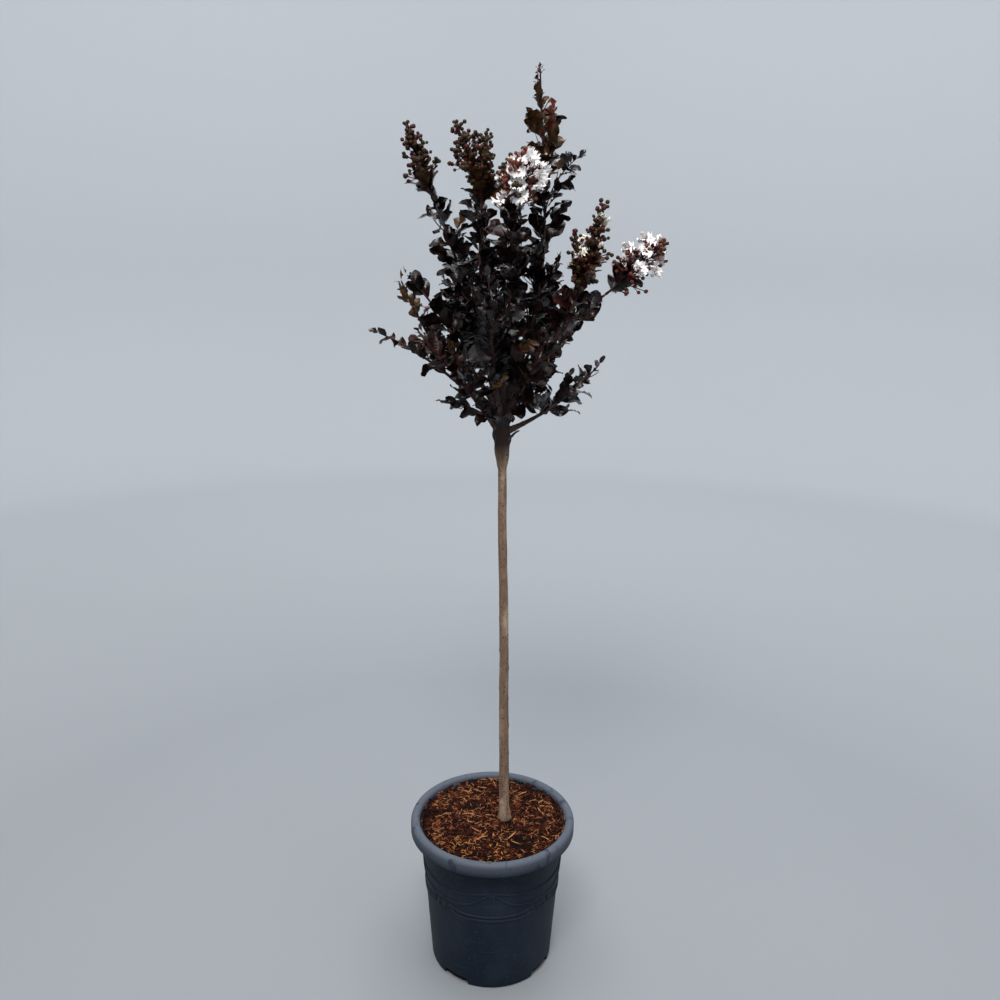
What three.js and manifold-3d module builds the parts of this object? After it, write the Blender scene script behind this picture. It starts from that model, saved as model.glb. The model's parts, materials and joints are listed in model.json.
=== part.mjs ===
// A young crape myrtle trained as a small standard, growing in a nursery pot.
// Millimetres, +Z up. The origin is the centre of the pot's flat underside, which stands on the ground.
// +X and +Y are level. The trunk rises from the potting mix to a knuckle, the head, and every shoot
// of the crown leaves that head: first as a bare bough, then as a leafy mass, and some end in a panicle.

import * as THREE from 'three';
import { mergeVertices } from 'three/addons/utils/BufferGeometryUtils.js';
import Module from 'manifold-3d';

const wasm = await Module();
wasm.setup();

// ---------------------------------------------------------------------------------------------
// Driving dimensions
// ---------------------------------------------------------------------------------------------

// Clearance between neighbouring solids, and the finest detail that a solid keeps.
const GAP = 0.3;
const FINEST = 0.08;

const POT = {
  height: 252.7,
  footRadius: 99.2,
  bodyTopRadius: 115.5,
  rimRadius: 132.6,
  rimRoll: 7.2,
  lipBottom: 231,
  lipEdge: 0.6,
  wall: 2.5,
  floor: 4,
  footBevel: [1.5, 2],
  underRim: 241,
  innerRim: 238,
  segments: 36,
  rollSteps: 5,
};

// Four drainage notches cut through the foot of the pot's wall.
const NOTCH = { count: 4, width: 46, height: 12, depth: 8, firstAngle: -125 };

const MIX = { top: 246, flatRadius: 62, edgeDrop: 3 };

// The trunk's leaning centre line, from the top of the potting mix to the top of the head.
const TRUNK = {
  line: [[19, 1, 246.3], [16, 4, 440], [14, 4, 600], [10, 2, 740], [8, 0, 870], [4, 0, 944]],
  flareRadius: 11.5,
  flareHeight: 26,
  footRadius: 8,
  neckRadius: 6.2,
  headStart: 0.84,
  headRadius: 13,
  headRound: 0.86,
  headFullness: 0.8,
  topRadius: 8,
  sides: 8,
  steps: 20,
};

// Every shoot starts this far off the trunk's centre line, inside the head.
const SHOOT_INSET = 5;

// How far along a shoot its foot's and its tip's directions pull its curve, as a share of its reach.
const SHOOT_HANDLE = 0.38;

// Points along a shoot from which the mass's space is measured, and the size of a cell of that space.
const SPACE_POINTS = 24;
const CELL = 30;

const BOUGH = { sides: 5, steps: 4, radius: 4.2, tipRadius: 2.8 };
const STEM = { sides: 3, step: 45, radius: 2.6, tipRadius: 1.3 };
const TWIG = {
  radiusShare: 0.58,
  tipRadiusShare: 0.7,
  segments: 2,
  spacing: 42,
  longest: 84,
  shortest: 34,
  reachSpread: [0.85, 1.15],
  straightShare: 0.5,
  angle: 46,
  angleSpread: 16,
  turnJitter: 20,
  bend: 14,
  bareShare: 0.3,
  leaf: 0.92,
  tipShare: 0.55,
};

const LEAF = {
  length: 44,
  width: 28,
  sizeSpread: [0.85, 1.1],
  fold: 0.045,
  spacing: 13.5,
  angle: 50,
  angleSpread: 26,
  turnJitter: 14,
  roll: 0.9,
  tipAngle: 14,
  clearOfHead: 20,
  belly: 0.48,
  neck: 0.3,
  shortestNeck: 7,
  tipInset: 4,
  tipShare: 0.4,
  panicleShare: 0.8,
  taperLength: 95,
};

// Clear space kept round a leaf, twig, bud or flower.
const CLEAR = 0.6;

const BUD = { radius: 5.2, stalkRadius: 0.9 };
const FLOWER = { radius: 14, depth: 8, petals: 5, notch: 0.62, tipRise: 0.18, notchDrop: 0.12 };
const GOLDEN_ANGLE = 137.5;

// A panicle's flowers stand below flowersTo, a share of its length, as often as flowers says for its kind.
const PANICLE = {
  stemRadius: 2,
  tipRadius: 1.4,
  segments: 2,
  straightShare: 0.3,
  stalkSpread: [0.6, 1],
  sizeSpread: [0.85, 1.1],
  flowersTo: 0.9,
  stalks: 17,
  baseShare: 0.1,
  topInset: 3,
  topReach: 6,
  bulgeStart: 0.25,
  narrowest: 0.22,
  lowAngle: 66,
  highAngle: 42,
  flowers: { bud: 0, mixed: 0.2, blossom: 0.6 },
};

const FINISH = {
  pot: { color: 0x3f4c58, roughness: 0.55 },
  mix: { color: 0x6b3a20, roughness: 0.95 },
  bark: { color: 0x6f6358, roughness: 0.85 },
  bough: { color: 0x3a2420, roughness: 0.7 },
  darkLeaf: { color: 0x241a1d, roughness: 0.45 },
  bronzeLeaf: { color: 0x3f3420, roughness: 0.45 },
  bud: { color: 0x4a2420, roughness: 0.6 },
  blossom: { color: 0xece6e4, roughness: 0.6 },
};

// The shoots, each with these values.
// foot: height of the foot on the head. tip: how far the leafy stem reaches, its last leaf included.
// rise, tipRise: steepness in degrees at the foot and at the tip.
// bough: share of the length that is a bare bough, 0 for a small spray that grows from the head itself.
// leaf, twig: size of the leaves and length of the side twigs, 1 being full.
// twigsTo: share of the stem that carries twigs. rank: flat side on which the first leaf and twig stand.
// space: radius of the space that the mass keeps to. offshoot: one long twig and the share it leaves from.
// end: the panicle that the shoot ends in.
const SHOOTS = [
  {
    name: 'leader', foot: 936, tip: [52, 20, 1386], rise: 60, tipRise: 93,
    bough: 0.18, leaf: 0.92, twig: 0.7, twigsTo: 0.5, rank: 2, space: 70,
    leafFinish: FINISH.bronzeLeaf,
    offshoot: { from: 0.56, tip: [106, -10, 1270] },
  },
  {
    name: 'tall_left', foot: 930, tip: [-88, 20, 1202], rise: 74, tipRise: 66,
    bough: 0.24, leaf: 1, twig: 0.7, twigsTo: 1, rank: 1, space: 60,
    end: { kind: 'bud', top: [-125, 15, 1302], width: 80 },
  },
  {
    name: 'tall_middle', foot: 934, tip: [-24, -30, 1192], rise: 74, tipRise: 94,
    bough: 0.22, leaf: 1, twig: 0.8, twigsTo: 1, rank: 1, space: 60,
    end: { kind: 'bud', top: [-56, -30, 1300], width: 96 },
  },
  {
    name: 'front_blossom', foot: 932, tip: [18, -55, 1184], rise: 62, tipRise: 88,
    bough: 0.22, leaf: 1, twig: 0.7, twigsTo: 1, rank: 0, space: 58,
    end: { kind: 'blossom', top: [36, -62, 1262], width: 88 },
  },
  {
    name: 'right', foot: 922, tip: [108, -30, 1084], rise: 42, tipRise: 66,
    bough: 0.24, leaf: 1, twig: 0.9, twigsTo: 1, rank: 2, space: 58,
    end: { kind: 'mixed', top: [139, -32, 1202], width: 74 },
  },
  {
    name: 'far_right', foot: 914, tip: [152, 20, 1084], rise: 42, tipRise: 36,
    bough: 0.24, leaf: 0.95, twig: 0.5, twigsTo: 0.6, rank: 1, space: 44,
    end: { kind: 'blossom', top: [226, 22, 1156], width: 88 },
  },
  {
    name: 'low_right', foot: 888, tip: [152, -30, 1003], rise: 26, tipRise: 50,
    bough: 0.26, leaf: 0.85, twig: 0.5, twigsTo: 0.8, rank: 0, space: 42,
  },
  {
    name: 'low_left', foot: 910, tip: [-176, -40, 1038], rise: 40, tipRise: 24,
    bough: 0.26, leaf: 0.8, twig: 0.5, twigsTo: 0.8, rank: 0, space: 40,
  },
  {
    name: 'left', foot: 918, tip: [-145, 30, 1115], rise: 36, tipRise: 66,
    bough: 0.24, leaf: 0.95, twig: 0.7, twigsTo: 0.9, rank: 2, space: 46,
    leafFinish: FINISH.bronzeLeaf,
  },
  {
    name: 'left_front', foot: 924, tip: [-132, -62, 1122], rise: 52, tipRise: 44,
    bough: 0.24, leaf: 0.95, twig: 0.6, twigsTo: 0.9, rank: 0, space: 44,
  },
  {
    name: 'left_low_front', foot: 890, tip: [-112, -84, 1046], rise: 50, tipRise: 46,
    bough: 0.24, leaf: 0.95, twig: 0.6, twigsTo: 0.9, rank: 1, space: 40,
  },
  {
    name: 'front', foot: 910, tip: [-12, -132, 1130], rise: 46, tipRise: 76,
    bough: 0.24, leaf: 1, twig: 0.9, twigsTo: 0.9, rank: 0, space: 58,
  },
  {
    name: 'front_right', foot: 902, tip: [66, -124, 1058], rise: 40, tipRise: 62,
    bough: 0.24, leaf: 1, twig: 0.9, twigsTo: 0.9, rank: 0, space: 50,
  },
  {
    name: 'back_left', foot: 926, tip: [-60, 116, 1176], rise: 56, tipRise: 82,
    bough: 0.24, leaf: 1, twig: 1, twigsTo: 0.9, rank: 0, space: 62,
  },
  {
    name: 'back', foot: 938, tip: [10, 92, 1178], rise: 68, tipRise: 84,
    bough: 0.22, leaf: 1, twig: 0.9, twigsTo: 1, rank: 2, space: 60,
    end: { kind: 'bud', top: [8, 100, 1262], width: 64 },
  },
  {
    name: 'back_right', foot: 920, tip: [92, 112, 1142], rise: 50, tipRise: 70,
    bough: 0.24, leaf: 1, twig: 1, twigsTo: 0.9, rank: 1, space: 62,
  },
  {
    name: 'back_low_left', foot: 900, tip: [-112, 124, 1036], rise: 36, tipRise: 50,
    bough: 0.24, leaf: 0.95, twig: 0.8, twigsTo: 0.9, rank: 0, space: 54,
  },
  {
    name: 'back_low_right', foot: 894, tip: [80, 134, 1010], rise: 34, tipRise: 50,
    bough: 0.24, leaf: 0.95, twig: 0.8, twigsTo: 0.9, rank: 0, space: 50,
  },
  {
    name: 'back_low', foot: 908, tip: [-6, 168, 1076], rise: 40, tipRise: 64,
    bough: 0.24, leaf: 1, twig: 0.9, twigsTo: 0.9, rank: 1, space: 58,
  },
  {
    name: 'foot_left', foot: 898, tip: [-92, -22, 934], rise: 40, tipRise: 4,
    bough: 0, leaf: 0.95, twig: 0.5, twigsTo: 0.5, rank: 2, space: 40,
  },
  {
    name: 'foot_front', foot: 902, tip: [-26, -84, 946], rise: 30, tipRise: 44,
    bough: 0, leaf: 0.95, twig: 0.5, twigsTo: 0.5, rank: 1, space: 44,
  },
  {
    name: 'foot_back', foot: 890, tip: [26, 92, 934], rise: 30, tipRise: 44,
    bough: 0, leaf: 0.95, twig: 0.5, twigsTo: 0.5, rank: 0, space: 44,
  },
  {
    name: 'foot_right', foot: 876, tip: [44, -22, 898], rise: 16, tipRise: 20,
    bough: 0, leaf: 0.8, twig: 0.5, twigsTo: 0.5, rank: 1, space: 36,
  },
];

// ---------------------------------------------------------------------------------------------
// Solids
// ---------------------------------------------------------------------------------------------

const at = (xyz) => new THREE.Vector3(...xyz);
const radians = (degrees) => THREE.MathUtils.degToRad(degrees);
const lerp = (a, b, share) => THREE.MathUtils.lerp(a, b, share);

// A seeded stream of numbers from 0 to 1.
function randomStream(seed) {
  let state = seed >>> 0;
  return () => {
    state = (state + 0x6d2b79f5) >>> 0;
    let mixed = Math.imul(state ^ (state >>> 15), state | 1);
    mixed ^= mixed + Math.imul(mixed ^ (mixed >>> 7), mixed | 61);
    return ((mixed ^ (mixed >>> 14)) >>> 0) / 4294967296;
  };
}

// A closed shape given as corners and triangles.
function solidOfFaces(corners, faces) {
  return new wasm.Manifold(new wasm.Mesh({
    numProp: 3,
    vertProperties: new Float32Array(corners.flatMap((corner) => corner.toArray())),
    triVerts: new Uint32Array(faces.flat()),
  }));
}

// A closed three.js geometry as a solid, with its doubled vertices and empty triangles taken out.
function solidOfGeometry(geometry) {
  const bare = new THREE.BufferGeometry();
  bare.setAttribute('position', geometry.getAttribute('position'));
  bare.setIndex(geometry.index);
  const merged = mergeVertices(bare, 1e-4);
  const index = merged.index.array;
  const faces = [];
  for (let i = 0; i < index.length; i += 3) {
    const [a, b, c] = [index[i], index[i + 1], index[i + 2]];
    if (a !== b && b !== c && c !== a) {
      faces.push(a, b, c);
    }
  }
  return new wasm.Manifold(new wasm.Mesh({
    numProp: 3,
    vertProperties: new Float32Array(merged.getAttribute('position').array),
    triVerts: new Uint32Array(faces),
  }));
}

function geometryOfSolid(solid) {
  const mesh = solid.getMesh();
  const geometry = new THREE.BufferGeometry();
  geometry.setAttribute('position', new THREE.BufferAttribute(new Float32Array(mesh.vertProperties), 3));
  geometry.setIndex(new THREE.BufferAttribute(new Uint32Array(mesh.triVerts), 1));
  geometry.computeVertexNormals();
  return geometry;
}

// The largest closed body of a solid: loose scraps are dropped and sealed hollows are filled.
function largestBody(solid) {
  return solid.simplify(FINEST).decompose().sort((a, b) => b.volume() - a.volume())[0];
}

function turned(profile, segments) {
  const points = profile.map(([radius, height]) => new THREE.Vector2(radius, height));
  const geometry = new THREE.LatheGeometry(points, segments);
  geometry.rotateX(Math.PI / 2);
  return solidOfGeometry(geometry);
}

// ---------------------------------------------------------------------------------------------
// Convex pieces and the space they take up
// ---------------------------------------------------------------------------------------------

// A convex piece, from its corners and triangles, with the directions that can part it from another.
// A root piece grows into the rest of its own node, and keeps clear of the other nodes only.
function convexPiece(corners, faces, node, isRoot = false) {
  const normals = [];
  const edges = [];
  const addDirection = (list, direction) => {
    const length = direction.length();
    if (length < 1e-6) {
      return;
    }
    direction.divideScalar(length);
    if (!list.some((known) => Math.abs(known.dot(direction)) > 0.9995)) {
      list.push(direction);
    }
  };
  for (const [a, b, c] of faces) {
    const ab = corners[b].clone().sub(corners[a]);
    const ac = corners[c].clone().sub(corners[a]);
    addDirection(normals, ab.clone().cross(ac));
    addDirection(edges, ab);
    addDirection(edges, corners[c].clone().sub(corners[b]));
  }
  return { corners, normals, edges, node, isRoot, box: new THREE.Box3().setFromPoints(corners) };
}

function spreadAlong(piece, axis) {
  const range = [Infinity, -Infinity];
  for (const corner of piece.corners) {
    const place = corner.dot(axis);
    range[0] = Math.min(range[0], place);
    range[1] = Math.max(range[1], place);
  }
  return range;
}

// True where some direction shows a clear gap between two convex pieces.
function areApart(first, second, gap) {
  const isParting = (axis) => {
    const [firstLow, firstHigh] = spreadAlong(first, axis);
    const [secondLow, secondHigh] = spreadAlong(second, axis);
    return firstLow - secondHigh > gap || secondLow - firstHigh > gap;
  };
  if (first.normals.some(isParting) || second.normals.some(isParting)) {
    return true;
  }
  const axis = new THREE.Vector3();
  for (const a of first.edges) {
    for (const b of second.edges) {
      axis.crossVectors(a, b);
      if (axis.lengthSq() > 1e-6 && isParting(axis.normalize())) {
        return true;
      }
    }
  }
  return false;
}

// The pieces that have grown so far, kept in a grid of cells.
class GrownPieces {
  constructor(cellSize) {
    this.cellSize = cellSize;
    this.cells = new Map();
  }

  * cellsOf(box, margin) {
    const low = box.min.clone().addScalar(-margin).divideScalar(this.cellSize).floor();
    const high = box.max.clone().addScalar(margin).divideScalar(this.cellSize).floor();
    for (let x = low.x; x <= high.x; x += 1) {
      for (let y = low.y; y <= high.y; y += 1) {
        for (let z = low.z; z <= high.z; z += 1) {
          yield `${x},${y},${z}`;
        }
      }
    }
  }

  add(piece) {
    for (const key of this.cellsOf(piece.box, 0)) {
      if (!this.cells.has(key)) {
        this.cells.set(key, []);
      }
      this.cells.get(key).push(piece);
    }
  }

  hasRoomFor(piece, gap) {
    const seen = new Set();
    const reach = piece.box.clone().expandByScalar(gap);
    for (const key of this.cellsOf(piece.box, gap)) {
      for (const other of this.cells.get(key) ?? []) {
        const mayTouch = other.node === piece.node && (other.isRoot || piece.isRoot);
        if (!mayTouch && !seen.has(other)) {
          seen.add(other);
          if (reach.intersectsBox(other.box) && !areApart(piece, other, gap)) {
            return false;
          }
        }
      }
    }
    return true;
  }
}

const grown = new GrownPieces(CELL);

// ---------------------------------------------------------------------------------------------
// Limbs
// ---------------------------------------------------------------------------------------------

// The part of a direction that is square to an axis.
function squareTo(axis, direction) {
  return direction.clone().addScaledVector(axis, -direction.dot(axis)).normalize();
}

// Corners round an axis, the first one turned away from a side direction by some degrees.
function ringRound(centre, axis, side, radius, sides, turn = 0) {
  const first = squareTo(axis, side);
  const across = axis.clone().cross(first);
  const ring = [];
  for (let corner = 0; corner < sides; corner += 1) {
    const angle = radians(turn + (360 * corner) / sides);
    ring.push(centre.clone()
      .addScaledVector(first, Math.cos(angle) * radius)
      .addScaledVector(across, Math.sin(angle) * radius));
  }
  return ring;
}

// Rings of corners along a limb's curve between two shares of its length. A limb's side is a direction
// that is never in line with it, and its corners are counted from there.
function ringsAlong(curve, from, to, steps, sides, radiusAt) {
  const rings = [];
  for (let step = 0; step <= steps; step += 1) {
    const share = lerp(from, to, step / steps);
    const tangent = curve.getTangentAt(share);
    rings.push(ringRound(curve.getPointAt(share), tangent, curve.side, radiusAt(step / steps), sides));
  }
  return rings;
}

function facesOfRings(ringCount, sides) {
  const faces = [];
  for (let ring = 0; ring + 1 < ringCount; ring += 1) {
    for (let corner = 0; corner < sides; corner += 1) {
      const next = (corner + 1) % sides;
      const low = ring * sides;
      const high = low + sides;
      faces.push([low + corner, low + next, high + next]);
      faces.push([low + corner, high + next, high + corner]);
    }
  }
  const last = (ringCount - 1) * sides;
  for (let corner = 1; corner + 1 < sides; corner += 1) {
    faces.push([0, corner + 1, corner]);
    faces.push([last, last + corner, last + corner + 1]);
  }
  return faces;
}

// A limb as one solid, with a convex piece for each stretch of it.
function limb(rings, node) {
  const sides = rings[0].length;
  const stretchFaces = facesOfRings(2, sides);
  const pieces = [];
  for (let ring = 0; ring + 1 < rings.length; ring += 1) {
    pieces.push(convexPiece([...rings[ring], ...rings[ring + 1]], stretchFaces, node));
  }
  return { solid: solidOfFaces(rings.flat(), facesOfRings(rings.length, sides)), pieces };
}

// ---------------------------------------------------------------------------------------------
// Pot, potting mix and trunk
// ---------------------------------------------------------------------------------------------

function arc(centreRadius, centreHeight, radius, fromDegrees, toDegrees, steps) {
  const points = [];
  for (let step = 0; step <= steps; step += 1) {
    const angle = radians(lerp(fromDegrees, toDegrees, step / steps));
    points.push([centreRadius + Math.cos(angle) * radius, centreHeight + Math.sin(angle) * radius]);
  }
  return points;
}

const wallSlope = (POT.bodyTopRadius - POT.footRadius) / POT.lipBottom;
const outerRadiusAt = (height) => POT.footRadius + wallSlope * height;
const innerRadiusAt = (height) => outerRadiusAt(height) - POT.wall;

function makePot() {
  const rollHeight = POT.height - POT.rimRoll;
  const rollRadius = POT.rimRadius - POT.rimRoll;
  let pot = turned([
    [0, 0],
    [POT.footRadius - POT.footBevel[0], 0],
    [POT.footRadius, POT.footBevel[1]],
    [outerRadiusAt(POT.underRim), POT.underRim],
    [POT.rimRadius - POT.wall, POT.underRim],
    [POT.rimRadius - POT.wall, POT.lipBottom],
    [POT.rimRadius - POT.lipEdge, POT.lipBottom],
    ...arc(rollRadius, rollHeight, POT.rimRoll, 0, 180, POT.rollSteps),
    [innerRadiusAt(POT.innerRim), POT.innerRim],
    [innerRadiusAt(POT.floor), POT.floor],
    [0, POT.floor],
  ], POT.segments);
  for (let notch = 0; notch < NOTCH.count; notch += 1) {
    const cutter = new THREE.BoxGeometry(NOTCH.depth * 2, NOTCH.width, NOTCH.height * 2);
    cutter.translate(POT.footRadius, 0, 0);
    cutter.rotateZ(radians(NOTCH.firstAngle + (360 / NOTCH.count) * notch));
    pot = pot.subtract(solidOfGeometry(cutter));
  }
  return largestBody(pot);
}

function makeMix() {
  const bottom = POT.floor + GAP;
  const edge = MIX.top - MIX.edgeDrop;
  return turned([
    [0, bottom],
    [innerRadiusAt(bottom) - GAP, bottom],
    [innerRadiusAt(edge) - GAP, edge],
    [MIX.flatRadius, MIX.top],
    [0, MIX.top],
  ], POT.segments);
}

const trunkLine = new THREE.CatmullRomCurve3(TRUNK.line.map(at));
trunkLine.side = new THREE.Vector3(1, 0, 0);
const trunkLength = trunkLine.getLength();

// The trunk's radius at a share of its length: root flare, slow taper, swollen head and rounded top.
function trunkRadiusAt(share) {
  const flare = Math.exp(-(share * trunkLength) / (TRUNK.flareHeight / 2));
  const plain = lerp(TRUNK.footRadius, TRUNK.neckRadius, share / TRUNK.headStart);
  if (share <= TRUNK.headStart) {
    return plain + (TRUNK.flareRadius - TRUNK.footRadius) * flare;
  }
  const head = (share - TRUNK.headStart) / (1 - TRUNK.headStart);
  const swelling = Math.sin(Math.PI * Math.min(1, head * TRUNK.headRound)) ** TRUNK.headFullness;
  const base = lerp(TRUNK.neckRadius, TRUNK.topRadius, head);
  return base + (TRUNK.headRadius - base) * swelling;
}

// The trunk's rings, made larger all round, and longer at the top, by an extra clearance.
function trunkRings(extra) {
  const first = trunkLine.getTangentAt(0);
  const last = trunkLine.getTangentAt(1);
  const radiusAt = (share) => trunkRadiusAt(share) + extra;
  const rings = ringsAlong(trunkLine, 0, 1, TRUNK.steps, TRUNK.sides, radiusAt);
  // The lowest ring is brought to one level, for a flat cut.
  for (const corner of rings[0]) {
    corner.addScaledVector(first, (TRUNK.line[0][2] - corner.z) / first.z);
  }
  rings.at(-1).forEach((corner) => corner.addScaledVector(last, extra));
  return rings;
}

const trunk = limb(trunkRings(0), 'trunk');
const trunkWithGap = limb(trunkRings(GAP), 'trunk').solid;

// The trunk's centre at a height.
function trunkCentreAt(height) {
  let low = 0;
  let high = 1;
  for (let halving = 0; halving < 30; halving += 1) {
    const middle = (low + high) / 2;
    if (trunkLine.getPointAt(middle).z < height) {
      low = middle;
    } else {
      high = middle;
    }
  }
  return trunkLine.getPointAt(low);
}

// ---------------------------------------------------------------------------------------------
// Shoots: bough, stem, twigs and leaves
// ---------------------------------------------------------------------------------------------

// A level direction tilted up by an angle.
function tilted(level, degrees) {
  const tilt = radians(degrees);
  return level.clone().multiplyScalar(Math.cos(tilt)).add(new THREE.Vector3(0, 0, Math.sin(tilt)));
}

function shootCurve(shoot) {
  const centre = trunkCentreAt(shoot.foot);
  const tip = at(shoot.tip);
  const level = tip.clone().sub(centre).setZ(0).normalize();
  if (!shoot.end) {
    tip.addScaledVector(tilted(level, shoot.tipRise), -LEAF.length * LEAF.tipShare * shoot.leaf);
  }
  const foot = centre.addScaledVector(level, SHOOT_INSET);
  const handle = foot.distanceTo(tip) * SHOOT_HANDLE;
  const curve = new THREE.CubicBezierCurve3(
    foot,
    foot.clone().addScaledVector(tilted(level, shoot.rise), handle),
    tip.clone().addScaledVector(tilted(level, shoot.tipRise), -handle),
    tip,
  );
  curve.side = level.clone().cross(new THREE.Vector3(0, 0, 1));
  return curve;
}

// A direction that leaves a limb at an angle, on the side given by a turn round the limb.
function branchingOff(curve, share, turn, angle) {
  const tangent = curve.getTangentAt(share);
  const outward = squareTo(tangent, curve.side).applyAxisAngle(tangent, radians(turn));
  const tilt = radians(angle);
  return tangent.multiplyScalar(Math.cos(tilt)).addScaledVector(outward, Math.sin(tilt));
}

// The turn of the middle of one of a three-sided limb's flat sides, give or take some degrees.
function rankTurn(rank, jitter, random) {
  return 60 + 120 * (rank % 3) + (random() - 0.5) * 2 * jitter;
}

// One leaf: a thin diamond with a keel under its midrib, whose root lies inside its twig.
const LEAF_FACES = [[0, 3, 2], [1, 2, 3], [0, 2, 1], [0, 1, 3]];

function leafAt(root, direction, upper, size, node) {
  const length = LEAF.length * size;
  const face = squareTo(direction, upper);
  const across = face.clone().cross(direction);
  const along = (distance) => root.clone().addScaledVector(direction, distance);
  const belly = along(LEAF.belly * length).addScaledVector(face, LEAF.fold * length);
  const left = belly.clone().addScaledVector(across, (LEAF.width * size) / 2);
  const right = belly.clone().addScaledVector(across, (-LEAF.width * size) / 2);
  const rim = [along(length), left, right];
  const neck = along(Math.max(LEAF.neck * length, LEAF.shortestNeck));
  return {
    solid: () => solidOfFaces([root, ...rim], LEAF_FACES),
    pieces: [
      convexPiece([root, ...rim], LEAF_FACES, node, true),
      convexPiece([neck, ...rim], LEAF_FACES, node),
    ],
  };
}

// The leaves of one stem or twig, in three ranks, smaller towards its tip, which ends in a leaf.
function leavesAlong(curve, from, firstRank, size, tipShare, random, node) {
  const leaves = [];
  const length = curve.getLength();
  const start = from * length;
  const count = Math.max(1, Math.round((length - start) / LEAF.spacing));
  for (let leaf = 0; leaf <= count; leaf += 1) {
    const isLast = leaf === count;
    const distance = lerp(start, length, (leaf + 0.5) / (count + 0.5)) - (isLast ? LEAF.tipInset : 0);
    const share = distance / length;
    const taper = lerp(tipShare, 1, Math.min(1, (length - distance) / LEAF.taperLength));
    const angle = isLast ? LEAF.tipAngle : LEAF.angle + (random() - 0.5) * LEAF.angleSpread;
    const turn = rankTurn(firstRank + leaf, LEAF.turnJitter, random);
    const direction = branchingOff(curve, share, turn, angle);
    const upper = curve.getTangentAt(share).applyAxisAngle(direction, (random() - 0.5) * LEAF.roll);
    const leafSize = size * taper * lerp(...LEAF.sizeSpread, random());
    leaves.push(leafAt(curve.getPointAt(share), direction, upper, leafSize, node));
  }
  return leaves;
}

function isInSpace(piece, shoot) {
  return piece.corners.every((corner) => {
    let nearest = Infinity;
    for (const point of shoot.axis) {
      nearest = Math.min(nearest, point.distanceTo(corner));
    }
    return nearest < shoot.space;
  });
}

function tryToGrow(shoot, item) {
  if (item.pieces.every((piece) => isInSpace(piece, shoot) && grown.hasRoomFor(piece, CLEAR))) {
    item.pieces.forEach((piece) => grown.add(piece));
    shoot.solids.push(item.solid());
    return true;
  }
  return false;
}

// The bare bough and the leafy stem of a shoot. A small spray has no bough: its stem meets the head.
function growAxis(shoot, index) {
  shoot.random = randomStream(1000 + index * 77);
  shoot.node = `foliage_${shoot.name}`;
  shoot.curve = shootCurve(shoot);
  shoot.length = shoot.curve.getLength();
  shoot.axis = shoot.curve.getSpacedPoints(SPACE_POINTS);
  if (shoot.bough > 0) {
    const rings = ringsAlong(shoot.curve, 0, shoot.bough, BOUGH.steps, BOUGH.sides,
      (share) => lerp(BOUGH.radius, BOUGH.tipRadius, share));
    const bough = limb(rings, `bough_${shoot.name}`);
    shoot.boughSolid = largestBody(bough.solid.subtract(trunkWithGap));
    bough.pieces.forEach((piece) => grown.add(piece));
  }
  const stemFrom = shoot.bough > 0 ? shoot.bough + GAP / shoot.length : 0;
  shoot.leafyFrom = shoot.bough > 0 ? stemFrom : LEAF.clearOfHead / shoot.length;
  const steps = Math.ceil((shoot.length * (1 - stemFrom)) / STEM.step);
  const rings = ringsAlong(shoot.curve, stemFrom, 1, steps, STEM.sides,
    (share) => lerp(STEM.radius, STEM.tipRadius, share));
  const stem = limb(rings, shoot.node);
  stem.pieces.forEach((piece) => grown.add(piece));
  shoot.solids = [shoot.bough > 0 ? stem.solid : largestBody(stem.solid.subtract(trunkWithGap))];
  shoot.radiusAt = (share) => lerp(STEM.radius, STEM.tipRadius, (share - stemFrom) / (1 - stemFrom));
}

// A side twig from a share of the shoot to a tip, bending where it leaves.
function twigTo(shoot, share, direction, tip, rank) {
  const root = shoot.curve.getPointAt(share);
  const bend = root.clone().addScaledVector(direction, root.distanceTo(tip) * TWIG.straightShare);
  const curve = new THREE.QuadraticBezierCurve3(root, bend, tip);
  curve.side = direction.clone().cross(tip.clone().sub(root)).normalize();
  const rootRadius = shoot.radiusAt(share) * TWIG.radiusShare;
  const radiusAt = (shareOfTwig) => lerp(rootRadius, rootRadius * TWIG.tipRadiusShare, shareOfTwig);
  const made = limb(ringsAlong(curve, 0, 1, TWIG.segments, STEM.sides, radiusAt), shoot.node);
  made.pieces[0].isRoot = true;
  return { curve, rank, item: { solid: () => made.solid, pieces: made.pieces } };
}

// The side twigs of a shoot, longest near the bough, each bending towards the light.
function twigsOf(shoot) {
  const twigs = [];
  const leafyLength = shoot.length * (1 - shoot.leafyFrom) * shoot.twigsTo;
  const count = Math.floor(leafyLength / TWIG.spacing);
  for (let index = 0; index < count; index += 1) {
    const along = (index + 0.5) / (count + 0.5);
    const share = lerp(shoot.leafyFrom, 1, along * shoot.twigsTo);
    const rank = shoot.rank + index * 2;
    const turn = rankTurn(rank, TWIG.turnJitter, shoot.random);
    const angle = TWIG.angle + (shoot.random() - 0.5) * TWIG.angleSpread;
    const direction = branchingOff(shoot.curve, share, turn, angle);
    const fullReach = lerp(TWIG.longest, TWIG.shortest, along) * shoot.twig;
    const reach = fullReach * lerp(...TWIG.reachSpread, shoot.random());
    const tip = shoot.curve.getPointAt(share).addScaledVector(direction, reach);
    tip.z += TWIG.bend * shoot.twig;
    twigs.push(twigTo(shoot, share, direction, tip, rank));
  }
  if (shoot.offshoot) {
    const { from, tip } = shoot.offshoot;
    twigs.push(twigTo(shoot, from, shoot.curve.getTangentAt(from), at(tip), shoot.rank));
  }
  return twigs;
}

// ---------------------------------------------------------------------------------------------
// Panicles of buds and blossom
// ---------------------------------------------------------------------------------------------

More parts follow.
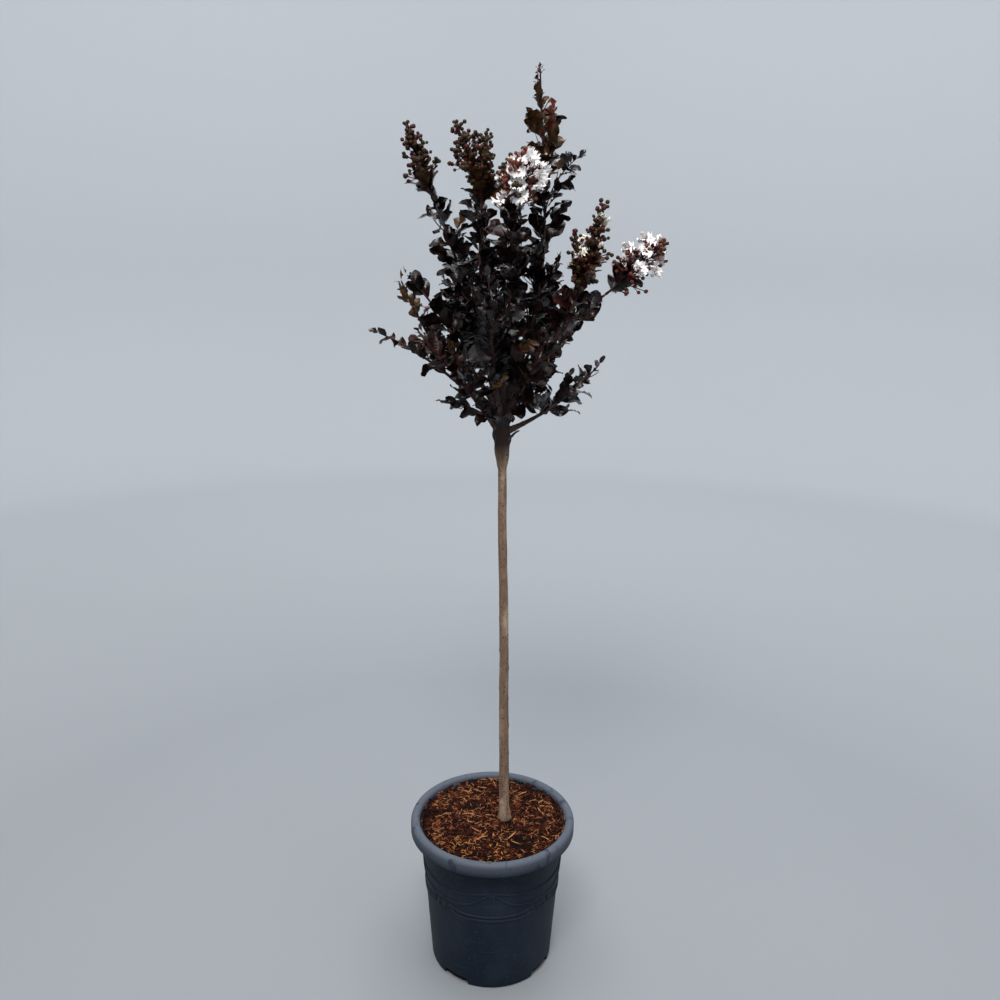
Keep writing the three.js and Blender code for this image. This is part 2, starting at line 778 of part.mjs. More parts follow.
// A bud is an eight-faced body that stands on its stalk with one face.
const BUD_FACES = [
  [0, 2, 1], [3, 4, 5],
  [0, 1, 3], [1, 4, 3], [1, 2, 4], [2, 5, 4], [2, 0, 5], [0, 3, 5],
];

function budCorners(centre, axis, side, radius) {
  const faceDistance = radius / Math.sqrt(3);
  const faceRadius = radius * Math.sqrt(2 / 3);
  return [
    ...ringRound(centre.clone().addScaledVector(axis, -faceDistance), axis, side, faceRadius, 3, 0),
    ...ringRound(centre.clone().addScaledVector(axis, faceDistance), axis, side, faceRadius, 3, 60),
  ];
}

// A crinkled flower: a ring of petal tips and notches between a raised and a sunken middle.
function flowerSolid(centre, axis, side, radius) {
  const tipCentre = centre.clone().addScaledVector(axis, radius * FLOWER.tipRise);
  const notchCentre = centre.clone().addScaledVector(axis, radius * -FLOWER.notchDrop);
  const tips = ringRound(tipCentre, axis, side, radius, FLOWER.petals);
  const halfPetal = 180 / FLOWER.petals;
  const notches = ringRound(notchCentre, axis, side, radius * FLOWER.notch, FLOWER.petals, halfPetal);
  const rim = tips.flatMap((tip, petal) => [tip, notches[petal]]);
  const top = rim.length;
  const faces = [];
  for (let corner = 0; corner < rim.length; corner += 1) {
    const next = (corner + 1) % rim.length;
    faces.push([corner, next, top], [next, corner, top + 1]);
  }
  const raised = centre.clone().addScaledVector(axis, FLOWER.depth / 2);
  const sunken = centre.clone().addScaledVector(axis, -FLOWER.depth / 2);
  return solidOfFaces([...rim, raised, sunken], faces);
}

// A panicle: a stem, and stalks that shorten towards its top, each with a bud or a flower at its end.
function growPanicle(shoot, index) {
  const random = randomStream(9000 + index * 131);
  const node = `panicle_${shoot.name}`;
  const { kind, top, width } = shoot.end;
  const tangent = shoot.curve.getTangentAt(1);
  const foot = shoot.curve.getPointAt(1).addScaledVector(tangent, GAP);
  const length = foot.distanceTo(at(top));
  const bend = foot.clone().addScaledVector(tangent, length * PANICLE.straightShare);
  const curve = new THREE.QuadraticBezierCurve3(foot, bend, at(top));
  curve.side = tangent.clone().cross(at(top).sub(foot)).normalize();
  const rings = ringsAlong(curve, 0, 1, PANICLE.segments, STEM.sides,
    (share) => lerp(PANICLE.stemRadius, PANICLE.tipRadius, share));
  const stem = limb(rings, node);
  stem.pieces.forEach((piece) => grown.add(piece));
  const solids = [stem.solid];
  for (let stalk = 0; stalk <= PANICLE.stalks; stalk += 1) {
    const along = stalk / PANICLE.stalks;
    const isTop = stalk === PANICLE.stalks;
    const share = lerp(PANICLE.baseShare, 1, along) - (isTop ? PANICLE.topInset / length : 0);
    const root = curve.getPointAt(share);
    const turn = GOLDEN_ANGLE * stalk;
    const bulge = Math.sin(Math.PI * Math.min(1, PANICLE.bulgeStart + along * (1 - PANICLE.bulgeStart)));
    const isFlower = random() < PANICLE.flowers[kind] && along < PANICLE.flowersTo;
    const fullSpread = (width / 2 - BUD.radius) * Math.max(PANICLE.narrowest, bulge);
    const spread = fullSpread * lerp(...PANICLE.stalkSpread, random());
    const reach = isTop ? PANICLE.topReach : spread;
    const angle = isTop ? 0 : lerp(PANICLE.lowAngle, PANICLE.highAngle, along);
    const way = branchingOff(curve, share, turn, angle);
    const end = root.clone().addScaledVector(way, reach);
    const radius = (isFlower ? FLOWER.radius : BUD.radius) * lerp(...PANICLE.sizeSpread, random());
    const corners = budCorners(end, way, curve.side, radius);
    const line = new THREE.LineCurve3(root, end);
    line.side = curve.side;
    const stalkLimb = limb(ringsAlong(line, 0, 1, 1, STEM.sides, () => BUD.stalkRadius), node);
    stalkLimb.pieces[0].isRoot = true;
    const pieces = [convexPiece(corners, BUD_FACES, node), ...stalkLimb.pieces];
    if (pieces.every((piece) => grown.hasRoomFor(piece, CLEAR))) {
      pieces.forEach((piece) => grown.add(piece));
      solids.push(stalkLimb.solid);
      solids.push(isFlower ? flowerSolid(end, way, curve.side, radius) : solidOfFaces(corners, BUD_FACES));
    }
  }
  return { node, solids };
}

// ---------------------------------------------------------------------------------------------
// The plant
// ---------------------------------------------------------------------------------------------

function mesh(name, solid, finish) {
  const material = new THREE.MeshStandardMaterial({ ...finish, metalness: 0 });
  const made = new THREE.Mesh(geometryOfSolid(solid), material);
  made.name = name;
  return made;
}

const plant = new THREE.Group();
plant.add(mesh('pot', makePot(), FINISH.pot));
plant.add(mesh('potting_mix', makeMix(), FINISH.mix));
plant.add(mesh('trunk', trunk.solid, FINISH.bark));
trunk.pieces.forEach((piece) => grown.add(piece));

SHOOTS.forEach(growAxis);
const panicles = SHOOTS.map((shoot, index) => (shoot.end ? growPanicle(shoot, index) : null));

// Twigs grow first, then leaves in rounds, so that no shoot takes its neighbours' light.
for (const shoot of SHOOTS) {
  shoot.twigs = twigsOf(shoot).filter((twig) => tryToGrow(shoot, twig.item));
  const stemTipShare = shoot.end ? LEAF.panicleShare : LEAF.tipShare;
  shoot.leaves = leavesAlong(shoot.curve, shoot.leafyFrom, shoot.rank, shoot.leaf, stemTipShare,
    shoot.random, shoot.node);
  for (const twig of shoot.twigs) {
    shoot.leaves.push(...leavesAlong(twig.curve, TWIG.bareShare, twig.rank, shoot.leaf * TWIG.leaf,
      TWIG.tipShare, shoot.random, shoot.node));
  }
}
const rounds = Math.max(...SHOOTS.map((shoot) => shoot.leaves.length));
for (let round = 0; round < rounds; round += 1) {
  for (const shoot of SHOOTS) {
    const leaf = shoot.leaves[round];
    if (leaf) {
      tryToGrow(shoot, leaf);
    }
  }
}

SHOOTS.forEach((shoot, index) => {
  if (shoot.boughSolid) {
    plant.add(mesh(`bough_${shoot.name}`, shoot.boughSolid, FINISH.bough));
  }
  const foliage = largestBody(wasm.Manifold.union(shoot.solids));
  plant.add(mesh(shoot.node, foliage, shoot.leafFinish ?? FINISH.darkLeaf));
  const panicle = panicles[index];
  if (panicle) {
    const finish = shoot.end.kind === 'blossom' ? FINISH.blossom : FINISH.bud;
    plant.add(mesh(panicle.node, largestBody(wasm.Manifold.union(panicle.solids)), finish));
  }
});

export default plant;
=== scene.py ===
"""A young crape myrtle trained as a small standard, growing in a nursery pot.

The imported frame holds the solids. This script grows the same crown again by the same seeded rule, and carries
it to finer twigs and to leaves of their real size. It gives trunk, pot, mix and panicles their surfaces.
The plant's classes hold sizes and places in millimetres, in the part's frame. Meshes, finishes and the studio
are in metres. A pair of numbers is a range, or the values at the start and the end of what it belongs to.
"""

from __future__ import annotations

import json
import logging
import math
from collections import defaultdict
from collections.abc import Callable, Iterable, Sequence
from dataclasses import dataclass, field
from enum import Enum
from itertools import product

import bpy
import numpy as np
from mathutils import Matrix, Vector, noise

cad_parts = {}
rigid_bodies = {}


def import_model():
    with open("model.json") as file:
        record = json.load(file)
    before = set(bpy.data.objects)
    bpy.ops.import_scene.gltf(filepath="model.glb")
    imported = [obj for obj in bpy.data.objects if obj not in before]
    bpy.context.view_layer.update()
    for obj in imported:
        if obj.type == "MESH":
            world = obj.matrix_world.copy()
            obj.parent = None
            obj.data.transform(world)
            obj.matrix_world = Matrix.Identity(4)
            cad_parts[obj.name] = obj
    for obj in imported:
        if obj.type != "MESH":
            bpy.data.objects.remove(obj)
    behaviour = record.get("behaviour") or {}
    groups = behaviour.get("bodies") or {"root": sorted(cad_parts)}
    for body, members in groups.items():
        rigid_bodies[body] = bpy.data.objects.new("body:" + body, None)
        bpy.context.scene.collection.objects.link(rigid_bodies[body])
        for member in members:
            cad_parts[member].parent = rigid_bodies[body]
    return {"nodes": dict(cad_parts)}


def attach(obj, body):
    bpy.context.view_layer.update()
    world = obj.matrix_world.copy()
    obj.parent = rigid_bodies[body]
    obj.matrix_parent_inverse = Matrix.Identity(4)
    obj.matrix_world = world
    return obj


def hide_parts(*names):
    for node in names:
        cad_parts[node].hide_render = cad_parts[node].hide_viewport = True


MM = 0.001
STREAM_BITS = 0xFFFFFFFF
STREAM_STEP = 0x6D2B79F5
STREAM_RANGE = 2.0**32
ARC_DIVISIONS = 200
TANGENT_STEP = 1e-4
GOLDEN_ANGLE = 137.5
EAST = np.array([1.0, 0.0, 0.0])
NORTH = np.array([0.0, 1.0, 0.0])
UP = np.array([0.0, 0.0, 1.0])
STALK_SIDE = np.array([0.31, 0.17, 1.0])
BUD_UPPER = np.array([0.3, 0.8, 0.5])
FLOWER_UPPER = np.array([0.2, 0.9, 0.4])
SMALL = 1e-6
MIX_COLOURS = (6, 7)
MIX_RESULT = 2
VIEW_POINT = (6.0, -1356.0, 1164.0)

Vec = np.ndarray
Pair = tuple[float, float]
Triple = tuple[float, float, float]
Colour = tuple[float, float, float]
Line = Callable[[float], Vec]
Faces = list[tuple[int, ...]]
Cell = tuple[int, int, int]
Mesh = bpy.types.Mesh
Object = bpy.types.Object
Material = bpy.types.Material
Node = bpy.types.Node
Socket = bpy.types.NodeSocket
log = logging.getLogger("crape_myrtle")


# Numbers and curves


class RandomStream:
    """The seeded stream of numbers from 0 to 1 that the growth rule draws from."""

    def __init__(self, seed: int) -> None:
        """Starts the stream.

        Args:
            seed: Any whole number.
        """
        self.state = seed & STREAM_BITS

    def __call__(self) -> float:
        """Steps the state on and mixes its bits.

        Returns:
            The next number.
        """
        self.state = (self.state + STREAM_STEP) & STREAM_BITS
        mixed = ((self.state ^ (self.state >> 15)) * (self.state | 1)) & STREAM_BITS
        mixed ^= (mixed + (mixed ^ (mixed >> 7)) * (mixed | 61)) & STREAM_BITS
        return ((mixed ^ (mixed >> 14)) & STREAM_BITS) / STREAM_RANGE

    def between(self, low: float, high: float) -> float:
        """Returns the next number, spread over a range."""
        return lerp(low, high, self())

    def spread(self, reach: float) -> float:
        """Returns the next number, spread evenly to both sides of 0."""
        return (self() - 0.5) * 2 * reach


def lerp(low: float, high: float, share: float) -> float:
    """Returns the value at a share of the way from low to high."""
    return low + (high - low) * share


def unit(vector: Vec) -> Vec:
    """Returns a vector's direction."""
    return vector / np.linalg.norm(vector)


def square_to(axis: Vec, direction: Vec) -> Vec:
    """Returns the part of a direction that is square to an axis."""
    return unit(direction - axis * float(np.dot(direction, axis)))


def turned(vector: Vec, axis: Vec, angle: float) -> Vec:
    """Turns a vector about an axis.

    Args:
        vector: The vector.
        axis: The axis' direction.
        angle: The turn in radians.

    Returns:
        The turned vector.
    """
    sine, cosine = math.sin(angle), math.cos(angle)
    along = axis * float(np.dot(axis, vector)) * (1 - cosine)
    return vector * cosine + np.cross(axis, vector) * sine + along


def tilted(level: Vec, degrees: float) -> Vec:
    """Returns a level direction tilted up by an angle."""
    tilt = math.radians(degrees)
    return level * math.cos(tilt) + UP * math.sin(tilt)


class Path:
    """A curve that is read by shares of its length."""

    def __init__(self, shape: Line, side: Vec) -> None:
        """Measures the curve.

        Args:
            shape: Gives the point at a parameter from 0 to 1.
            side: A direction that is never in line with the curve, from which turns round it are counted.
        """
        self.shape = shape
        self.side = side
        points = np.array([shape(step / ARC_DIVISIONS) for step in range(ARC_DIVISIONS + 1)])
        steps = np.linalg.norm(np.diff(points, axis=0), axis=1)
        self.lengths = np.concatenate([[0.0], np.cumsum(steps)])
        self.parameters = np.linspace(0.0, 1.0, ARC_DIVISIONS + 1)
        self.length = float(self.lengths[-1])

    def parameter(self, share: float) -> float:
        """Returns the curve's parameter at a share of its length."""
        return float(np.interp(share * self.length, self.lengths, self.parameters))

    def point(self, share: float) -> Vec:
        """Returns the point at a share of the length."""
        return self.shape(self.parameter(share))

    def tangent(self, share: float) -> Vec:
        """Returns the direction at a share of the length."""
        place = self.parameter(share)
        return unit(self.shape(min(1.0, place + TANGENT_STEP)) - self.shape(max(0.0, place - TANGENT_STEP)))

    def branching_off(self, share: float, turn: float, angle: float) -> Vec:
        """Leaves the curve sideways.

        Args:
            share: The place along the curve.
            turn: Degrees round the curve from its side.
            angle: Degrees between the curve and the new direction.

        Returns:
            The new direction.
        """
        tangent = self.tangent(share)
        outward = turned(square_to(tangent, self.side), tangent, math.radians(turn))
        tilt = math.radians(angle)
        return tangent * math.cos(tilt) + outward * math.sin(tilt)


def bezier(*controls: Vec) -> Line:
    """Shapes a Bezier curve.

    Args:
        controls: Its control points.

    Returns:
        The curve, as the point at a parameter from 0 to 1.
    """
    degree = len(controls) - 1
    weights = [math.comb(degree, index) for index in range(degree + 1)]

    def shape(place: float) -> Vec:
        """Blends the control points.

        Args:
            place: The parameter.

        Returns:
            The curve's point.
        """
        parts = (
            weights[index] * (1 - place) ** (degree - index) * place**index * control
            for index, control in enumerate(controls)
        )
        return sum(parts, np.zeros(3))

    return shape


def bent_line(root: Vec, direction: Vec, reach: float, tip: Vec) -> Line:
    """Returns a line that leaves a root in a direction and bends to a tip."""
    return bezier(root, root + direction * (reach * 0.5), tip)


def bent_path(root: Vec, direction: Vec, reach: float, tip: Vec) -> Path:
    """Returns the path of such a line, whose side is square to its bend."""
    return Path(bent_line(root, direction, reach, tip), unit(np.cross(direction, tip - root)))


def spline(points: Sequence[Triple]) -> Line:
    """Shapes a centripetal Catmull-Rom spline.

    Args:
        points: The points that it runs through.

    Returns:
        The curve, as the point at a parameter from 0 to 1.
    """
    inner = [np.array(point, float) for point in points]
    known = [2 * inner[0] - inner[1], *inner, 2 * inner[-1] - inner[-2]]
    last = len(points) - 1

    def shape(place: float) -> Vec:
        """Finds the stretch that a parameter lies in and blends its ends.

        Args:
            place: The parameter.

        Returns:
            The spline's point.
        """
        stretch = min(int(place * last), last - 1)
        weight = place * last - stretch
        before, start, end, after = known[stretch : stretch + 4]
        pairs = ((before, start), (start, end), (end, after))
        gaps = [math.sqrt(float(np.linalg.norm(second - first))) for first, second in pairs]
        leaving = (start - before) / gaps[0] - (end - before) / (gaps[0] + gaps[1]) + (end - start) / gaps[1]
        arriving = (end - start) / gaps[1] - (after - start) / (gaps[1] + gaps[2]) + (after - end) / gaps[2]
        leaving, arriving = leaving * gaps[1], arriving * gaps[1]
        square, cube = weight**2, weight**3
        bend = (-3 * start + 3 * end - 2 * leaving - arriving) * square
        return start + leaving * weight + bend + (2 * start - 2 * end + leaving + arriving) * cube

    return shape


# Meshes


class MeshStock:
    """Corners and faces gathered for one mesh, in millimetres, with one value for each corner."""

    def __init__(self) -> None:
        """Starts an empty stock."""
        self.corners: list[Vec] = []
        self.faces: Faces = []
        self.values: list[float] = []

    def add(self, corners: Iterable[Vec], faces: Iterable[Sequence[int]], value: float = 0.0) -> None:
        """Adds a piece whose faces count its own corners.

        Args:
            corners: The piece's corners.
            faces: The piece's faces.
            value: The value of its corners.
        """
        start = len(self.corners)
        self.corners.extend(corners)
        self.faces.extend(tuple(start + corner for corner in face) for face in faces)
        self.values.extend([value] * (len(self.corners) - start))

    def add_rings(
        self, rings: Sequence[Sequence[Vec]], values: Sequence[float] | None = None, is_closed: bool = True
    ) -> None:
        """Adds a tube through rings of corners.

        Args:
            rings: Rings with equal numbers of corners, each counted round the tube's direction.
            values: One value for each ring.
            is_closed: Whether both ends get a face.
        """
        start, sides = len(self.corners), len(rings[0])
        for index, ring in enumerate(rings):
            self.corners.extend(ring)
            self.values.extend([values[index] if values is not None else 0.0] * sides)
        for ring in range(len(rings) - 1):
            for corner in range(sides):
                low, following = start + ring * sides, (corner + 1) % sides
                high = low + sides
                self.faces.append((low + corner, low + following, high + following, high + corner))
        if not is_closed:
            return
        last = start + (len(rings) - 1) * sides
        self.faces.append(tuple(start + corner for corner in reversed(range(sides))))
        self.faces.append(tuple(last + corner for corner in range(sides)))

    def mesh(self, name: str, value_name: str = "") -> Mesh:
        """Makes the mesh, smooth shaded.

        Args:
            name: The mesh's name.
            value_name: The name of the attribute that keeps the corners' values, if they are kept.

        Returns:
            The mesh.
        """
        made = bpy.data.meshes.new(name)
        made.from_pydata((np.array(self.corners) * MM).tolist(), [], self.faces)
        made.polygons.foreach_set("use_smooth", [True] * len(made.polygons))
        if value_name:
            made.attributes.new(value_name, "FLOAT", "POINT").data.foreach_set("value", self.values)
        made.update()
        return made


def tube_mesh(name: str, rings: Sequence[Sequence[Vec]]) -> Mesh:
    """Makes a mesh of one closed tube.

    Args:
        name: The mesh's name.
        rings: The rings of corners that the tube runs through.

    Returns:
        The mesh.
    """
    stock = MeshStock()
    stock.add_rings(rings)
    return stock.mesh(name)


def grid_faces(rows: int, columns: int) -> Faces:
    """Returns the faces between corners that are set out in rows and columns."""
    lows = (row * columns + column for row in range(rows - 1) for column in range(columns - 1))
    return [(low, low + 1, low + columns + 1, low + columns) for low in lows]


def shown(name: str, data: bpy.types.ID, material: Material | None = None) -> Object:
    """Shows a mesh, lamp or camera in the scene.

    Args:
        name: The new object's name.
        data: The mesh, lamp or camera.
        material: What a mesh is dressed in.

    Returns:
        The object.
    """
    made = bpy.data.objects.new(name, data)
    bpy.context.scene.collection.objects.link(made)
    if material is not None:
        data.materials.append(material)
    return made


def settled(piece: Object) -> Object:
    """Turns what an object's modifiers make of it into its plain mesh, and removes them.

    Args:
        piece: The object.

    Returns:
        The same object.
    """
    evaluated = piece.evaluated_get(bpy.context.evaluated_depsgraph_get())
    made = bpy.data.meshes.new_from_object(evaluated)
    made.name = piece.name
    rough = piece.data
    piece.modifiers.clear()
    piece.data = made
    bpy.data.meshes.remove(rough)
    return piece


def hold(piece: Object, slot: str, *nodes: str) -> None:
    """Rides a piece on the part and reports it.

    Args:
        piece: The piece.
        slot: Not used.
        nodes: The nodes that it replaces.
    """
    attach(piece, "root")
    if nodes:
        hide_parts(*nodes)
    log.info("%s: %d corners", piece.name, len(piece.data.vertices))


def ring_round(centre: Vec, axis: Vec, side: Vec, radii: Sequence[float]) -> list[Vec]:
    """Sets out corners round an axis.

    Args:
        centre: The ring's middle.
        axis: The direction that the ring is square to.
        side: The direction from which the corners are counted.
        radii: The radius of each corner.

    Returns:
        The corners.
    """
    first = square_to(axis, side)
    across = np.cross(axis, first)
    angles = [2 * math.pi * corner / len(radii) for corner in range(len(radii))]
    return [
        centre + first * (math.cos(angle) * radius) + across * (math.sin(angle) * radius)
        for angle, radius in zip(angles, radii, strict=True)
    ]


# Node trees


class NodeTree:
    """A node tree that is filled node by node."""

    def __init__(self, tree: bpy.types.NodeTree) -> None:
        """Takes over an empty tree."""
        self.tree = tree

    def add(self, kind: str, inputs: dict[str | int, object] | None = None, **settings: object) -> Node:
        """Adds a node.

        Args:
            kind: The node's type.
            inputs: For each input by name or place, its value or the socket that feeds it.
            settings: The node's own settings.

        Returns:
            The node.
        """
        node = self.tree.nodes.new(kind)
        for name, value in settings.items():
            setattr(node, name, value)
        for name, value in (inputs or {}).items():
            if isinstance(value, Socket):
                self.feed(node, name, value)
            else:
                node.inputs[name].default_value = value
        return node

    def feed(self, node: Node, name: str | int, value: Socket) -> None:
        """Links a socket to a node's input."""
        self.tree.links.new(value, node.inputs[name])

    def socket(self, name: str, direction: str, kind: str, value: object = None) -> str:
        """Adds a socket to the tree's interface.

        Args:
            name: The socket's name.
            direction: INPUT or OUTPUT.
            kind: Its type, after the word NodeSocket.
            value: Its default value.

        Returns:
            The socket's identifier.
        """
        made = self.tree.interface.new_socket(name=name, in_out=direction, socket_type=f"NodeSocket{kind}")
        if value is not None:
            made.default_value = value
        return made.identifier


class PieceTree(NodeTree):
    """Geometry Nodes that turn the points or edges of a mesh into a dressed piece."""

    def __init__(self, name: str) -> None:
        """Starts the tree.

        Args:
            name: Its name.
        """
        super().__init__(bpy.data.node_groups.new(name, "GeometryNodeTree"))
        self.tree.is_modifier = True
        self.socket("Source", "INPUT", "Geometry")
        self.finish = self.socket("Finish", "INPUT", "Material")
        self.socket("Piece", "OUTPUT", "Geometry")

    def hand_out(self, given: Node, geometry: Socket) -> None:
        """Makes a geometry real, dresses it and hands it out.

        Args:
            given: The tree's Group Input node.
            geometry: The geometry.
        """
        real = self.add("GeometryNodeRealizeInstances", {0: geometry})
        values = {"Geometry": real.outputs[0], "Material": given.outputs["Finish"]}
        self.add("NodeGroupOutput", {0: self.add("GeometryNodeSetMaterial", values).outputs[0]})

    def run(self, piece: Object, material: Material, values: dict[str, object]) -> Object:
        """Runs the tree on an object.

        Args:
            piece: The object.
            material: The piece's material.
            values: The values of the tree's other sockets, by identifier.

        Returns:
            The object with its final mesh.
        """
        modifier = piece.modifiers.new(self.tree.name, "NODES")
        modifier.node_group = self.tree
        for socket, value in (values | {self.finish: material}).items():
            modifier[socket] = value
        return settled(piece)


class Scatter(PieceTree):
    """Geometry Nodes that set one of several shapes on each point, at the point's own turn and size."""

    attributes = (("turn", "FLOAT_VECTOR"), ("size", "FLOAT"), ("shape", "INT"))

    def __init__(self) -> None:
        """Builds the tree."""
        super().__init__("set_out_shapes")
        self.shapes = self.socket("Shapes", "INPUT", "Collection")
        given = self.add("NodeGroupInput")
        shapes = self.add(
            "GeometryNodeCollectionInfo",
            {"Collection": given.outputs["Shapes"], "Separate Children": True, "Reset Children": True},
        )
        turn, size, shape = (
            self.add("GeometryNodeInputNamedAttribute", {"Name": name}, data_type=kind).outputs["Attribute"]
            for name, kind in self.attributes
        )
        rotation = self.add("FunctionNodeEulerToRotation", {0: turn})
        placed = self.add(
            "GeometryNodeInstanceOnPoints",
            {
                "Points": given.outputs["Source"],
                "Instance": shapes.outputs[0],
                "Pick Instance": True,
                "Instance Index": shape,
                "Rotation": rotation.outputs[0],
                "Scale": size,
            },
        )
        self.hand_out(given, placed.outputs[0])

    def piece(self, name: str, places: Sequence[Place], shapes: Sequence[Mesh], material: Material) -> Object:
        """Sets shapes out on places.

        Args:
            name: The piece's name.
            places: Where each shape stands.
            shapes: The shapes, 1 millimetre long for a size of 1.
            material: The piece's material.

        Returns:
            The joined piece.
        """
        stock = bpy.data.collections.new(f"{name}_shapes")
        for index, shape in enumerate(shapes):
            stock.objects.link(bpy.data.objects.new(f"{name}_shape_{index:02d}", shape))
        points = bpy.data.meshes.new(name)
        points.from_pydata([(place.root * MM).tolist() for place in places], [], [])
        turns = [component for place in places for component in place.euler()]
        values = (turns, [place.size for place in places], [place.shape for place in places])
        for (attribute, kind), numbers in zip(self.attributes, values, strict=True):
            data = points.attributes.new(attribute, kind, "POINT").data
            data.foreach_set("vector" if numbers is turns else "value", numbers)
        piece = self.run(shown(name, points), material, {self.shapes: stock})
        for attribute, _ in self.attributes:
            if attribute in piece.data.attributes:
                piece.data.attributes.remove(piece.data.attributes[attribute])
        for source in list(stock.objects):
            bpy.data.objects.remove(source)
        bpy.data.collections.remove(stock)
        return piece


class Beading(PieceTree):
    """Geometry Nodes that sweep a round bead along the edges of a mesh."""

    sides = 8

    def __init__(self) -> None:
        """Builds the tree."""
        super().__init__("bead_along_edges")
        self.radius = self.socket("Radius", "INPUT", "Float", MM)
        given = self.add("NodeGroupInput")
        line = self.add("GeometryNodeMeshToCurve", {0: given.outputs["Source"]})
        profile = self.add(
            "GeometryNodeCurvePrimitiveCircle",
            {"Resolution": self.sides, "Radius": given.outputs["Radius"]},
        )
        swept = self.add(
            "GeometryNodeCurveToMesh",
            {"Curve": line.outputs[0], "Profile Curve": profile.outputs[0], "Fill Caps": True},
        )
        self.hand_out(given, self.add("GeometryNodeSetShadeSmooth", {0: swept.outputs[0]}).outputs[0])

    def piece(self, name: str, lines: Sequence[Sequence[Vec]], radius: float, material: Material) -> Object:
        """Sweeps beads along open lines of points.

        Args:
            name: The piece's name.
            lines: The lines' points, in millimetres.
            radius: The bead's radius in millimetres.
            material: The piece's material.

        Returns:
            The beads, as one piece.
        """
        corners = [(point * MM).tolist() for line in lines for point in line]
        edges, start = [], 0
        for line in lines:
            edges.extend((start + step, start + step + 1) for step in range(len(line) - 1))
            start += len(line)
        mesh = bpy.data.meshes.new(name)
        mesh.from_pydata(corners, edges, [])
        return self.run(shown(name, mesh), material, {self.radius: radius * MM})


@dataclass(frozen=True)
class Place:
    """Where one scattered shape stands: its root, its direction, its upper face, its size and its number."""

    root: Vec
    direction: Vec
    upper: Vec
    size: float
    shape: int

    def euler(self) -> Triple:
        """Turns a shape's Y to the direction and its Z to the upper face.

        Returns:
            The turn's Euler angles.
        """
        up = square_to(self.direction, self.upper)
        across = np.cross(self.direction, up)
        return tuple(Matrix(np.array([across, self.direction, up]).T.tolist()).to_euler("XYZ"))


# Finishes


class ShaderGroups:
    """Node groups that several materials share."""

    @staticmethod
    def grain() -> bpy.types.NodeTree:
        """Builds the group of a fine grain at its first use: noise stretched along the axes.

        Returns:
            The group, whose outputs are a mask and a height.
        """
        known = bpy.data.node_groups.get("surface_grain")
        if known is not None:
            return known
        tree = bpy.data.node_groups.new("surface_grain", "ShaderNodeTree")
        nodes = NodeTree(tree)
        sockets = {
            ("INPUT", "Vector"): ("Vector", "Stretch"),
            ("INPUT", "Float"): ("Scale", "Detail", "Low", "High"),
            ("OUTPUT", "Float"): ("Mask", "Height"),
        }
        for (direction, kind), names in sockets.items():
            for name in names:
                nodes.socket(name, direction, kind)
        given = nodes.add("NodeGroupInput")
        stretched = nodes.add(
            "ShaderNodeVectorMath",
            {0: given.outputs["Vector"], 1: given.outputs["Stretch"]},
            operation="MULTIPLY",
        )
        scale, detail, low, high = (given.outputs[name] for name in ("Scale", "Detail", "Low", "High"))
        values = {"Vector": stretched.outputs[0], "Scale": scale, "Detail": detail}
        height = nodes.add("ShaderNodeTexNoise", values).outputs["Fac"]
        mask = nodes.add("ShaderNodeMapRange", {"Value": height, "From Min": low, "From Max": high})
        nodes.add("NodeGroupOutput", {0: mask.outputs[0], 1: height})
        return tree


@dataclass(frozen=True)
class Grain:
    """One grain: its features for each metre, its factors along the axes, its mask's span and its detail."""

    scale: float
    stretch: Triple = (1.0, 1.0, 1.0)
    span: Pair = (0.35, 0.65)
    detail: float = 4.0


class MaterialTree(NodeTree):
    """The tree of a material with one Principled shader, whose patterns lie on the Object coordinates."""

    def __init__(self, material: Material, values: dict[str, object]) -> None:
        """Starts the tree.

        Args:
            material: The material.
            values: The shader's plain values.
        """
        material.use_nodes = True
        super().__init__(material.node_tree)
        self.tree.nodes.clear()
        self.place = self.add("ShaderNodeTexCoord").outputs["Object"]
        self.shader = self.add("ShaderNodeBsdfPrincipled", values)
        self.add("ShaderNodeOutputMaterial", {"Surface": self.shader.outputs[0]})

    def dress(self, name: str, value: Socket) -> None:
        """Feeds one of the shader's inputs."""
        self.feed(self.shader, name, value)

    def grain(self, grain: Grain) -> tuple[Socket, Socket]:
        """Adds a grain.

        Args:
            grain: Its values.

        Returns:
            Its mask and its height.
        """
        values = {
            "Vector": self.place,
            "Stretch": grain.stretch,
            "Scale": grain.scale,
            "Detail": grain.detail,
            "Low": grain.span[0],
            "High": grain.span[1],
        }
        group = self.add("ShaderNodeGroup", values, node_tree=ShaderGroups.grain())
        return group.outputs["Mask"], group.outputs["Height"]

    def mixed(self, share: Socket, first: Colour | Socket, second: Colour | Socket) -> Socket:
        """Mixes two colours.

        Args:
            share: The second colour's share.
            first: The first colour.
            second: The second colour.

        Returns:
            The mix.
        """
        colours = (value if isinstance(value, Socket) else (*value, 1.0) for value in (first, second))
        inputs = {0: share, **dict(zip(MIX_COLOURS, colours, strict=True))}
        return self.add("ShaderNodeMix", inputs, data_type="RGBA").outputs[MIX_RESULT]

    def spanned(self, value: Socket, low: float, high: float) -> Socket:
        """Returns a value from 0 to 1 spread over a range."""
        return self.add("ShaderNodeMapRange", {"Value": value, "To Min": low, "To Max": high}).outputs[0]

    def share_of(self, value: Socket, span: Pair) -> Socket:
        """Returns how far a value has come over a range, from 0 to 1."""
        values = {"Value": value, "From Min": span[0], "From Max": span[1]}
        return self.add("ShaderNodeMapRange", values).outputs[0]


